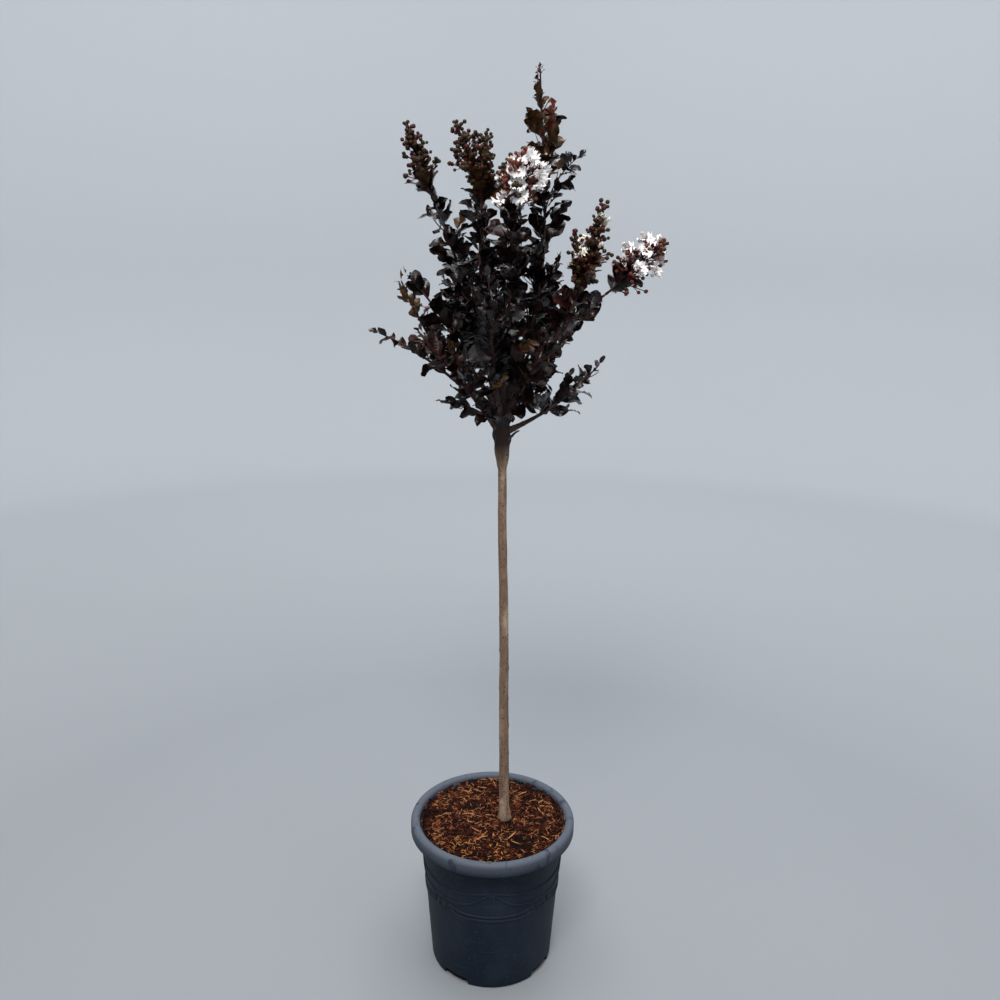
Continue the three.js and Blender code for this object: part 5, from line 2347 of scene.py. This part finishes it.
@dataclass(frozen=True)
class Lumps:
    """Soft noise: its height, its density across and along, and where along the noise it starts."""

    rise: float
    density: float
    along: float = 0.0
    start: float = 0.0

    def at(self, east: float, north: float, distance: float = 0.0) -> float:
        """Returns the height at a place."""
        place = (east * self.density, north * self.density, distance * self.along + self.start)
        return self.rise * noise.noise(Vector(place))


@dataclass
class Trunk:
    """The trunk: a lean line with a root flare, a slow taper, leaf scars and a swollen head."""

    line: tuple[Triple, ...] = (
        (19, 1, 246.3), (16, 4, 440), (14, 4, 600), (10, 2, 740), (8, 0, 870), (4, 0, 944),
    )
    halvings: int = 30
    flare_radius: float = 11.5
    flare_height: float = 26.0
    foot_radius: float = 8.0
    neck_radius: float = 6.2
    head_start: float = 0.84
    head_radius: float = 13.0
    head_round: float = 0.86
    head_fullness: float = 0.8
    top_radius: float = 8.0
    top_rings: Pair = (0.75, 0.4)
    top_lift: float = 0.5
    sides: int = 40
    ring_step: float = 2.6
    buried: float = 12.0
    buried_width: float = 1.05
    bark: tuple[Lumps, ...] = (
        Lumps(0.42, 1.1, 0.016), Lumps(0.3, 3.4, 0.035, 9.0), Lumps(0.16, 8.0, 0.12, 31.0),
    )
    head_lumps: Lumps = Lumps(2.6, 1.7, 0.09)
    flute: float = 0.7
    flute_reach: float = 13.0
    flutes: int = 3
    flute_turn: float = 0.7
    scar_seed: int = 77
    first_scar: float = 14.0
    first_turn: float = 30.0
    turn_jitter: float = 50.0
    scar_spacing: float = 27.0
    scar_gaps: Pair = (0.55, 1.4)
    scar_height: float = 1.5
    scar_heights: Pair = (0.4, 1.25)
    scar_reach: float = 3.2
    scar_end: float = 3.0
    scar_width: float = 0.55
    scar_line: float = 0.16
    line_place: float = 0.8
    line_sharpness: float = 2.2
    old_to: float = 838.0
    young_from: float = 872.0

    def __post_init__(self) -> None:
        """Measures the line and sets out the scars."""
        self.path = Path(spline(self.line), EAST)
        random = RandomStream(self.scar_seed)
        self.scars = []
        distance, turn = self.first_scar, self.first_turn
        while distance < self.path.length * self.head_start:
            height = self.scar_height * random.between(*self.scar_heights)
            self.scars.append((distance, math.radians(turn), height))
            distance += self.scar_spacing * random.between(*self.scar_gaps)
            turn += 180.0 + random.spread(self.turn_jitter)

    def centre_at(self, height: float) -> Vec:
        """Finds the centre line's point at a height.

        Args:
            height: The height.

        Returns:
            The point.
        """
        low, high = 0.0, 1.0
        for _ in range(self.halvings):
            middle = (low + high) / 2
            if self.path.point(middle)[2] < height:
                low = middle
            else:
                high = middle
        return self.path.point(low)

    def radius_at(self, share: float) -> float:
        """Finds the plain radius, as the solids have it.

        Args:
            share: The share of the trunk's length.

        Returns:
            The radius there.
        """
        flare = math.exp(-(share * self.path.length) / (self.flare_height / 2))
        plain = lerp(self.foot_radius, self.neck_radius, share / self.head_start)
        if share <= self.head_start:
            return plain + (self.flare_radius - self.foot_radius) * flare
        head = (share - self.head_start) / (1 - self.head_start)
        swelling = math.sin(math.pi * min(1.0, head * self.head_round)) ** self.head_fullness
        base = lerp(self.neck_radius, self.top_radius, head)
        return base + (self.head_radius - base) * swelling

    def relief(self, distance: float, angle: float) -> float:
        """Finds how far the bark stands out at a place.

        Args:
            distance: Millimetres along the trunk.
            angle: Radians round it.

        Returns:
            The height over the plain radius.
        """
        east, north = math.cos(angle), math.sin(angle)
        height = sum(lumps.at(east, north, distance) for lumps in self.bark)
        fluting = math.sin(self.flutes * angle + self.flute_turn)
        height += self.flute * math.exp(-distance / self.flute_reach) * fluting
        for place, turn, rise in self.scars:
            along = (distance - place) / self.scar_reach
            if abs(along) < self.scar_end:
                around = math.remainder(angle - turn, 2 * math.pi)
                height += rise * math.exp(-along * along - (around / self.scar_width) ** 2)
                height += self.scar_line * math.exp(-((along - self.line_place) * self.line_sharpness) ** 2)
        head = (distance / self.path.length - self.head_start) / (1 - self.head_start)
        if head > 0:
            height += self.head_lumps.at(east, north, distance) * math.sin(math.pi * min(1.0, head))
        return height

    def build(self) -> None:
        """Makes the trunk's piece, whose foot runs on a little into the potting mix."""
        path, steps = self.path, round(self.path.length / self.ring_step)
        (foot, foot_way), (top, top_way) = ((path.point(end), path.tangent(end)) for end in (0.0, 1.0))
        radii = [self.flare_radius * self.buried_width] * self.sides
        rings = [ring_round(foot - foot_way * self.buried, foot_way, path.side, radii)]
        ages = [1.0]
        for step in range(steps + 1):
            share = step / steps
            centre, plain = path.point(share), self.radius_at(share)
            angles = (2 * math.pi * corner / self.sides for corner in range(self.sides))
            radii = [plain + self.relief(share * path.length, angle) for angle in angles]
            rings.append(ring_round(centre, path.tangent(share), path.side, radii))
            ages.append(float(np.interp(centre[2], (self.old_to, self.young_from), (1.0, 0.0))))
        for share in self.top_rings:
            lift = self.top_radius * self.top_lift * (1 - share)
            radii = [self.top_radius * share] * self.sides
            rings.append(ring_round(top + top_way * lift, top_way, path.side, radii))
            ages.append(0.0)
        stock = MeshStock()
        stock.add_rings(rings, ages)
        piece = shown("trunk_bark", stock.mesh("trunk_bark", "age"), TRUNK_FINISH.material())
        hold(piece, "bark", "trunk")


# Pot and potting mix


@dataclass
class Pot:
    """The moulded nursery pot: a tapered wall, a rolled rim, foot notches and a relief of ribbon swags.

    The points of its edges count from the radius or the height that their names tell. The points of the
    relief are degrees to the side of a knot and heights.
    """

    height: float = 252.7
    foot_radius: float = 99.2
    body_top_radius: float = 115.5
    rim_radius: float = 132.6
    rim_roll: float = 7.2
    roll_steps: int = 14
    lip_bottom: float = 231.0
    wall: float = 2.5
    floor: float = 4.0
    middle: float = 0.01
    from_foot_radius: tuple[Pair, ...] = ((-9.0, 0.0), (-2.4, 0.0), (-0.7, 0.7), (0.1, 2.4))
    wall_heights: tuple[float, ...] = (14, 40, 80, 120, 160, 200, 226, 236)
    from_outer_wall: tuple[Pair, ...] = ((0.6, 239.5), (2.4, 241.0))
    from_rim_and_lip: tuple[Pair, ...] = (
        (-2.5, 10.0), (-2.5, 0.5), (-2.0, 0.0), (-0.7, 0.0), (0.0, 0.8), (0.0, 6.0),
    )
    inner_edge: Triple = (240.0, 1.4, 241.5)
    inner_heights: tuple[float, ...] = (236.0, 120.0)
    segments: int = 144
    notch_count: int = 4
    notch_width: float = 46.0
    notch_height: float = 12.0
    notch_depth: float = 8.0
    notch_round: float = 7.0
    notch_steps: int = 6
    notch_below: float = -3.0
    first_notch: float = -125.0
    sharp_from: float = 42.0
    knots: int = 4
    first_knot: float = -90.0
    relief: tuple[tuple[Pair, ...], ...] = (
        ((2.4, 186.5), (12, 184), (22, 180.5), (33, 178), (45, 177.5)),
        ((2, 184), (7, 177), (13, 168), (20, 161.5), (29, 157.5), (38, 156.6), (45, 156.6)),
        ((0, 141), (14, 141.5), (24, 142), (32, 144), (37, 147.5)),
        ((0, 134), (13, 134), (24, 133), (31, 135.5), (36, 140)),
        ((0, 182.5), (1.6, 186.5), (3.6, 188), (4.4, 185), (2.2, 183), (0, 182.5)),
        ((0, 182), (1.4, 177), (2.2, 171)),
    )
    relief_steps: int = 6
    loop: Triple = (4.2, 6.5, 141.0)
    loop_steps: int = 12
    bead_radius: float = 2.5
    bead_sink: float = 0.7

    def outer_radius(self, height: float) -> float:
        """Returns the wall's outer radius at a height."""
        return self.foot_radius + (self.body_top_radius - self.foot_radius) / self.lip_bottom * height

    def inner_radius(self, height: float) -> float:
        """Returns the wall's inner radius at a height."""
        return self.outer_radius(height) - self.wall

    def profile(self) -> list[Pair]:
        """Draws the pot's section.

        Returns:
            Radii and heights, from the middle underneath to the middle inside.
        """
        points = [(self.middle, 0.0)]
        points += [(self.foot_radius + out, height) for out, height in self.from_foot_radius]
        points += [(self.outer_radius(height), height) for height in self.wall_heights]
        points += [(self.outer_radius(height) + out, height) for out, height in self.from_outer_wall]
        points += [(self.rim_radius + out, self.lip_bottom + up) for out, up in self.from_rim_and_lip]
        roll_height, roll_radius = self.height - self.rim_roll, self.rim_radius - self.rim_roll
        for step in range(self.roll_steps + 1):
            angle = math.pi * step / self.roll_steps
            radius = roll_radius + math.cos(angle) * self.rim_roll
            points.append((radius, roll_height + math.sin(angle) * self.rim_roll))
        measured, out, edge = self.inner_edge
        points.append((self.inner_radius(measured) + out, edge))
        points += [(self.inner_radius(height), height) for height in (*self.inner_heights, self.floor)]
        return [*points, (self.middle, self.floor)]

    def shell(self) -> Object:
        """Turns the shell and cuts its foot notches.

        Returns:
            The shell, shaded smooth except at its sharp edges.
        """
        rings = [
            ring_round(UP * height, UP, EAST, [radius] * self.segments) for radius, height in self.profile()
        ]
        shell = shown("pot_moulding", tube_mesh("pot_moulding", rings), POT_FINISH.material())
        for notch in range(self.notch_count):
            cutter = self.notch_cutter(self.first_notch + 360 / self.notch_count * notch)
            cut = shell.modifiers.new("notch", "BOOLEAN")
            cut.operation, cut.solver, cut.object = "DIFFERENCE", "EXACT", cutter
            settled(shell)
            mesh = cutter.data
            bpy.data.objects.remove(cutter)
            bpy.data.meshes.remove(mesh)
        shell.data.polygons.foreach_set("use_smooth", [True] * len(shell.data.polygons))
        shell.data.set_sharp_from_angle(angle=math.radians(self.sharp_from))
        return shell

    def notch_cutter(self, degrees: float) -> Object:
        """Makes the body that cuts one foot notch, an arch with rounded shoulders.

        Args:
            degrees: The notch's place round the pot.

        Returns:
            The body.
        """
        half, bend = self.notch_width / 2, self.notch_round
        outline = [(-half, self.notch_below), (half, self.notch_below)]
        for quarter, middle in enumerate((half - bend, bend - half)):
            for step in range(self.notch_steps + 1):
                angle = math.pi / 2 * (quarter + step / self.notch_steps)
                height = self.notch_height - bend + bend * math.sin(angle)
                outline.append((middle + bend * math.cos(angle), height))
        turn = math.radians(degrees)
        out = np.array([math.cos(turn), math.sin(turn), 0.0])
        across = np.cross(UP, out)
        rings = [
            [out * (self.foot_radius + reach) + across * place + UP * height for place, height in outline]
            for reach in (-self.notch_depth, self.notch_depth)
        ]
        return shown("notch_cutter", tube_mesh("notch_cutter", rings))

    def on_wall(self, degrees: float, height: float) -> Vec:
        """Finds where the middle of a bead lies, just inside the wall's outer face.

        Args:
            degrees: The place round the pot.
            height: The height.

        Returns:
            The point.
        """
        turn = math.radians(degrees)
        radius = self.outer_radius(height) - self.bead_sink
        return np.array([math.cos(turn) * radius, math.sin(turn) * radius, height])

    def relief_lines(self) -> list[list[Vec]]:
        """Draws the relief on the wall.

        Returns:
            The lines of the swags, of the ribbon knots that hold them and of the loops between the knots.
        """
        lines = []
        pitch = 360 / self.knots
        wide, tall, middle = self.loop
        angles = [2 * math.pi * step / self.loop_steps for step in range(self.loop_steps + 1)]
        loop = [(wide * math.cos(angle), middle + tall * math.sin(angle)) for angle in angles]
        for knot in range(self.knots):
            turn = self.first_knot + pitch * knot
            for side in (-1, 1):
                lines += [self.ribbon(turn, side, points) for points in self.relief]
            lines.append([self.on_wall(turn + pitch / 2 + aside, height) for aside, height in loop])
        return lines

    def ribbon(self, turn: float, side: int, points: Sequence[Pair]) -> list[Vec]:
        """Draws a smooth line on the wall.

        Args:
            turn: Degrees round the pot from which the points count.
            side: 1, or -1 for the mirrored line.
            points: Degrees to the side and heights.

        Returns:
            The line's points.
        """
        shape = spline([(angle, height, 0.0) for angle, height in points])
        steps = self.relief_steps * (len(points) - 1)
        places = [shape(step / steps) for step in range(steps + 1)]
        return [self.on_wall(turn + side * place[0], place[1]) for place in places]

    def build(self, beading: Beading) -> None:
        """Makes the pot's pieces.

        Args:
            beading: What sweeps the relief's beads.
        """
        hold(self.shell(), "pot", "pot")
        relief = beading.piece("pot_swags", self.relief_lines(), self.bead_radius, POT_FINISH.material())
        hold(relief, "pot")


@dataclass(frozen=True)
class BitShape:
    """How the bits of one kind are made and how long they lie."""

    steps: int
    bend: Pair
    width: Pair
    thickness: float
    fullness: float
    lengths: Pair


FIBRE = BitShape(6, (0.5, 3.4), (0.048, 0.048), 0.85, 0.5, (5.5, 12.5))
TORN_CHIP = BitShape(3, (-0.4, 0.4), (0.14, 0.27), 0.42, 1.0, (3.0, 7.0))


@dataclass
class PottingMix:
    """The potting mix: a filled bed with a lumpy top, strewn with coir fibres, chips and crumbs.

    Each crumb patch is its place east and north, and its reach.
    """

    pot: Pot
    trunk: Trunk
    top: float = 246.0
    drop: float = 0.9
    flat_radius: float = 62.0
    edge_drop: float = 3.0
    edge_power: int = 6
    lumps: tuple[Lumps, ...] = (Lumps(2.2, 0.05, 0.0, 3.0), Lumps(1.3, 0.16, 0.0, 7.0))
    gap: float = 0.4
    middle: float = 0.05
    rings: int = 46
    spokes: int = 120
    chip_seed: int = 700
    chip_forms: int = 10
    chip_span: Pair = (0.14, 0.9)
    chip_sway: float = 0.16
    seed: int = 41
    strewn: int = 7600
    straws: int = 22
    straw_form: int = 4
    straw_lengths: Pair = (16.0, 26.0)
    straw_inset: float = 14.0
    rim_reach: float = 117.5
    trunk_reach: float = 9.0
    at_trunk: float = 0.5
    heaped: float = 3.2
    heap_power: int = 10
    tilt: float = 0.4
    roll: float = 0.7
    lifts: Pair = (-0.2, 1.5)
    half_length: float = 0.45
    rim_tilt: float = 0.1
    crumb_patches: tuple[Triple, ...] = (
        (48, -66, 19), (60, 56, 10), (-104, 12, 15), (72, 92, 17), (24, -14, 9), (-40, 30, 13), (8, 74, 10),
    )
    patch_shares: Pair = (0.62, 0.8)
    # Painted shade: within this reach inside the rim, this share of the bits take the dark crumb finish, as the
    # shade under the rim's wall.
    painted_shade_edge: float = 9.0
    painted_shade_edge_share: float = 0.5
    drift: Lumps = Lumps(0.25, 0.04, 0.0, 5.0)
    fibre_shift: float = -0.08
    chip_shift: float = 0.1
    tint_shares: Triple = (0.07, 0.33, 0.62)
    golden_front: float = -58.0
    golden_wave: float = 40.0
    golden_density: float = 0.03
    golden_lane: Pair = (2.0, 1.0)

    def height_at(self, east: float, north: float) -> float:
        """Finds the bed's height.

        Args:
            east: The place.
            north: The place.

        Returns:
            The height there.
        """
        edge = self.pot.inner_radius(self.top) - self.gap
        fall = max(0.0, (math.hypot(east, north) - self.flat_radius) / (edge - self.flat_radius))
        lumps = sum(lumps.at(east, north) for lumps in self.lumps)
        return self.top - self.drop - self.edge_drop * fall + lumps * (1 - fall**self.edge_power)

    def bed(self) -> Object:
        """Makes the bed, which fills the pot.

        Returns:
            The bed.
        """
        low, edge = self.pot.floor + self.gap, self.pot.inner_radius(self.top) - self.gap
        rings = [
            ring_round(UP * low, UP, EAST, [radius] * self.spokes)
            for radius in (self.middle, self.pot.inner_radius(low) - self.gap)
        ]
        for ring in range(self.rings, -1, -1):
            radius = max(self.middle, edge * ring / self.rings)
            corners = ring_round(UP * 0.0, UP, EAST, [radius] * self.spokes)
            rings.append([corner + UP * self.height_at(corner[0], corner[1]) for corner in corners])
        return shown("mix_bed", tube_mesh("mix_bed", rings), MIX_FINISH.material())

    @staticmethod
    def is_fibre(shape: int) -> bool:
        """Returns whether a form is a fibre, as two of every three are."""
        return shape % 3 > 0

    def chip(self, index: int) -> Mesh:
        """Makes a form of a bit of mix, which lies along Y.

        Args:
            index: The form's number.

        Returns:
            The mesh.
        """
        random = RandomStream(self.chip_seed + index)
        kind = FIBRE if self.is_fibre(index) else TORN_CHIP
        bend, sway = random.between(*kind.bend), random.spread(self.chip_sway)
        rings = []
        for step in range(kind.steps + 1):
            share = step / kind.steps
            body = math.sin(math.pi * lerp(*self.chip_span, share)) ** kind.fullness
            wide = (random.between(*kind.width) if kind is TORN_CHIP else kind.width[0]) * body
            angle = bend * (share - 0.5)
            along = np.array([math.sin(angle), math.cos(angle), 0.0])
            across = np.array([math.cos(angle), -math.sin(angle), 0.0])
            lift = sway * math.sin(math.pi * share)
            middle = np.array([(1 - math.cos(angle)) / bend, math.sin(angle) / bend, lift])
            rings.append(ring_round(middle, along, across, [wide, wide * kind.thickness] * 2))
        return tube_mesh(f"mix_bit_{index}", rings)

    def finish_at(self, east: float, north: float, is_fibre: bool, random: RandomStream) -> Finish:
        """Chooses the finish of a bit: dark in the crumb patches, dark at the rim as painted shade, golden at
        the front.

        Args:
            east: The bit's place.
            north: The bit's place.
            is_fibre: Whether it is a fibre, which is paler than a chip.
            random: The stream of numbers.

        Returns:
            The finish.
        """
        draw = random()
        crumbs, patch = self.patch_shares
        is_in_patch = any(math.hypot(east - x, north - y) < reach for x, y, reach in self.crumb_patches)
        if is_in_patch and draw < patch:
            return BARK_CRUMB_AND_RIM_SHADE if draw < crumbs else COIR_BROWN
        # Painted shade: dark crumbs along the rim.
        if math.hypot(east, north) > self.rim_reach - self.painted_shade_edge and draw < self.painted_shade_edge_share:
            return BARK_CRUMB_AND_RIM_SHADE
        draw = random() + self.drift.at(east, north) + (self.fibre_shift if is_fibre else self.chip_shift)
        pale, orange, brown = self.tint_shares
        if draw < pale:
            wave = noise.noise(Vector((east * self.golden_density, *self.golden_lane)))
            return COIR_GOLDEN if north < self.golden_front + self.golden_wave * wave else COIR_TAN
        if draw < orange:
            return COIR_ORANGE
        return COIR_BROWN if draw < brown else BARK_CRUMB_AND_RIM_SHADE

    def bit(self, east: float, north: float, shape: int, size: float, random: RandomStream) -> Place:
        """Lays a bit on the bed, along the rim where it would reach past it.

        Args:
            east: The bit's place.
            north: The bit's place.
            shape: Its form's number.
            size: Its length.
            random: The stream of numbers.

        Returns:
            Where it lies.
        """
        heading = 2 * math.pi * random()
        direction = unit(np.array([math.cos(heading), math.sin(heading), random.spread(self.tilt)]))
        upper = unit(np.array([random.spread(self.roll), random.spread(self.roll), 1.0]))
        radius = math.hypot(east, north)
        heap = self.heaped * min(1.0, radius / self.rim_reach) ** self.heap_power
        height = self.height_at(east, north) + heap + random.between(*self.lifts)
        if radius + size * self.half_length > self.rim_reach:
            direction = unit(np.array([-north, east, self.rim_tilt * radius]))
        return Place(np.array([east, north, height]), direction, upper, size, shape)

    def places(self) -> dict[Finish, list[Place]]:
        """Lays all bits, and after them the longer straws.

        Returns:
            Where they lie, by their finish.
        """
        random = RandomStream(self.seed)
        dealt: dict[Finish, list[Place]] = {finish: [] for finish in BITS}
        foot = self.trunk.path.point(0.0)
        for number in range(self.strewn + self.straws):
            is_straw = number >= self.strewn
            reach = self.rim_reach - (self.straw_inset if is_straw else 0.0)
            radius, angle = reach * math.sqrt(random()), 2 * math.pi * random()
            east, north = radius * math.cos(angle), radius * math.sin(angle)
            shape = self.straw_form if is_straw else int(random() * self.chip_forms)
            is_fibre = self.is_fibre(shape)
            size = random.between(*(FIBRE if is_fibre else TORN_CHIP).lengths)
            if math.hypot(east - foot[0], north - foot[1]) < self.trunk_reach:
                size *= self.at_trunk
            finish = self.finish_at(east, north, is_fibre, random)
            if is_straw:
                size, finish = random.between(*self.straw_lengths), COIR_TAN
            dealt[finish].append(self.bit(east, north, shape, size, random))
        return dealt

    def build(self, scatter: Scatter) -> None:
        """Makes the mix's pieces.

        Args:
            scatter: What strews the bits.
        """
        hold(self.bed(), "mix", "potting_mix")
        forms = [self.chip(index) for index in range(self.chip_forms)]
        for finish, places in self.places().items():
            piece = scatter.piece(f"mix_{finish.name}", places, forms, finish.material())
            hold(piece, "mix")


# Studio


@dataclass(frozen=True)
class Lamp:
    """A soft square lamp that looks at a point, in metres and watts."""

    name: str
    place: Triple
    target: Triple
    size: float
    watts: float
    colour: Colour = (0.97, 0.98, 1.0)

    def hang(self) -> None:
        """Adds the lamp to the scene."""
        data = bpy.data.lights.new(self.name, "AREA")
        data.shape, data.size, data.energy, data.color = "SQUARE", self.size, self.watts, self.colour
        lamp = shown(self.name, data)
        lamp.location = self.place
        lamp.rotation_euler = (Vector(self.target) - Vector(self.place)).to_track_quat("-Z", "Y").to_euler()


@dataclass
class Studio:
    """A pale round studio with soft light from above, and the camera."""

    floor_radius: float = 3.2
    floor_drop: float = 0.0006
    wall_radius: float = 4.2
    wall_height: float = 3.4
    cove_steps: int = 12
    spokes: int = 96
    paper: PaperFinish = PaperFinish("studio_paper", (0.50, 0.525, 0.55), 0.9, specular=0.1)
    sky: Colour = (0.93, 0.96, 1.0)
    sky_strength: float = 0.40
    lamps: tuple[Lamp, ...] = (
        Lamp("key", (-0.3, -1.7, 3.0), (0.0, 0.0, 0.9), 0.9, 58.0, (1.0, 0.985, 0.96)),
        Lamp("fill", (1.7, -1.2, 2.2), (0.0, 0.0, 0.8), 1.8, 7.0, (0.96, 0.98, 1.0)),
        Lamp("back", (0.4, 1.9, 2.6), (0.0, 0.0, 1.0), 1.4, 10.0),
    )
    wall_watts: tuple[float, ...] = (78.0, 36.0, 40.0, 44.0)
    wall_lamp_reach: float = 0.9
    wall_lamp_height: float = 3.3
    wall_lamp_target: float = 0.9
    wall_lamp_size: float = 2.6
    camera_pitch: float = 15.61
    camera_roll: float = 0.012
    sensor: float = 36.0
    lens: float = 34.2

    def room(self) -> None:
        """Makes the floor that curves up into the wall."""
        bend = self.wall_radius - self.floor_radius
        profile = [(MM, -self.floor_drop), (self.floor_radius * 0.5, -self.floor_drop)]
        for step in range(self.cove_steps + 1):
            angle = math.pi / 2 * step / self.cove_steps
            height = bend * (1 - math.cos(angle)) - self.floor_drop
            profile.append((self.floor_radius + bend * math.sin(angle), height))
        profile.append((self.wall_radius, self.wall_height))
        rings = [
            ring_round(UP * height / MM, UP, EAST, [radius / MM] * self.spokes) for radius, height in profile
        ]
        stock = MeshStock()
        stock.add_rings(rings, is_closed=False)
        shown("studio_room", stock.mesh("studio_room"), self.paper.material())

    def light(self) -> None:
        """Lights the studio: an even sky, three lamps round the plant and one for each side of the wall."""
        world = bpy.data.worlds.new("soft_sky")
        world.use_nodes = True
        background = world.node_tree.nodes["Background"]
        background.inputs["Color"].default_value = (*self.sky, 1.0)
        background.inputs["Strength"].default_value = self.sky_strength
        bpy.context.scene.world = world
        lamps = list(self.lamps)
        for side, watts in enumerate(self.wall_watts):
            turn = math.pi / 2 * (side + 1)
            east, north = math.cos(turn), math.sin(turn)
            place = (self.wall_lamp_reach * east, self.wall_lamp_reach * north, self.wall_lamp_height)
            target = (self.wall_radius * east, self.wall_radius * north, self.wall_lamp_target)
            lamps.append(Lamp(f"wall_{side}", place, target, self.wall_lamp_size, watts))
        for lamp in lamps:
            lamp.hang()

    def camera(self) -> None:
        """Places the camera at the view point."""
        data = bpy.data.cameras.new("camera")
        data.sensor_fit, data.sensor_width, data.lens = "HORIZONTAL", self.sensor, self.lens
        made = shown("camera", data)
        place = Matrix.Translation([part * MM for part in VIEW_POINT])
        pitch = Matrix.Rotation(math.radians(90 - self.camera_pitch), 4, "X")
        made.matrix_world = place @ pitch @ Matrix.Rotation(self.camera_roll, 4, "Z")
        bpy.context.scene.camera = made

    def build(self) -> None:
        """Makes the camera, the room and the light."""
        self.camera()
        self.room()
        self.light()
        bpy.context.scene.view_settings.view_transform = "Standard"


def main() -> None:
    """Builds the studio and the plant."""
    logging.basicConfig(level=logging.INFO, format="%(message)s")
    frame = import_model()
    log.info("solids to dress: %d", len(frame["nodes"]))
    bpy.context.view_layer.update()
    Studio().build()
    scatter, beading = Scatter(), Beading()
    trunk = Trunk()
    trunk.build()
    pot = Pot()
    pot.build(beading)
    PottingMix(pot, trunk).build(scatter)
    crown = Crown(trunk)
    crown.grow()
    panicles = Panicles(crown)
    panicles.grow()
    crown.build(scatter)
    panicles.build(scatter)
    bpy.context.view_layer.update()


if __name__ == "__main__":
    main()
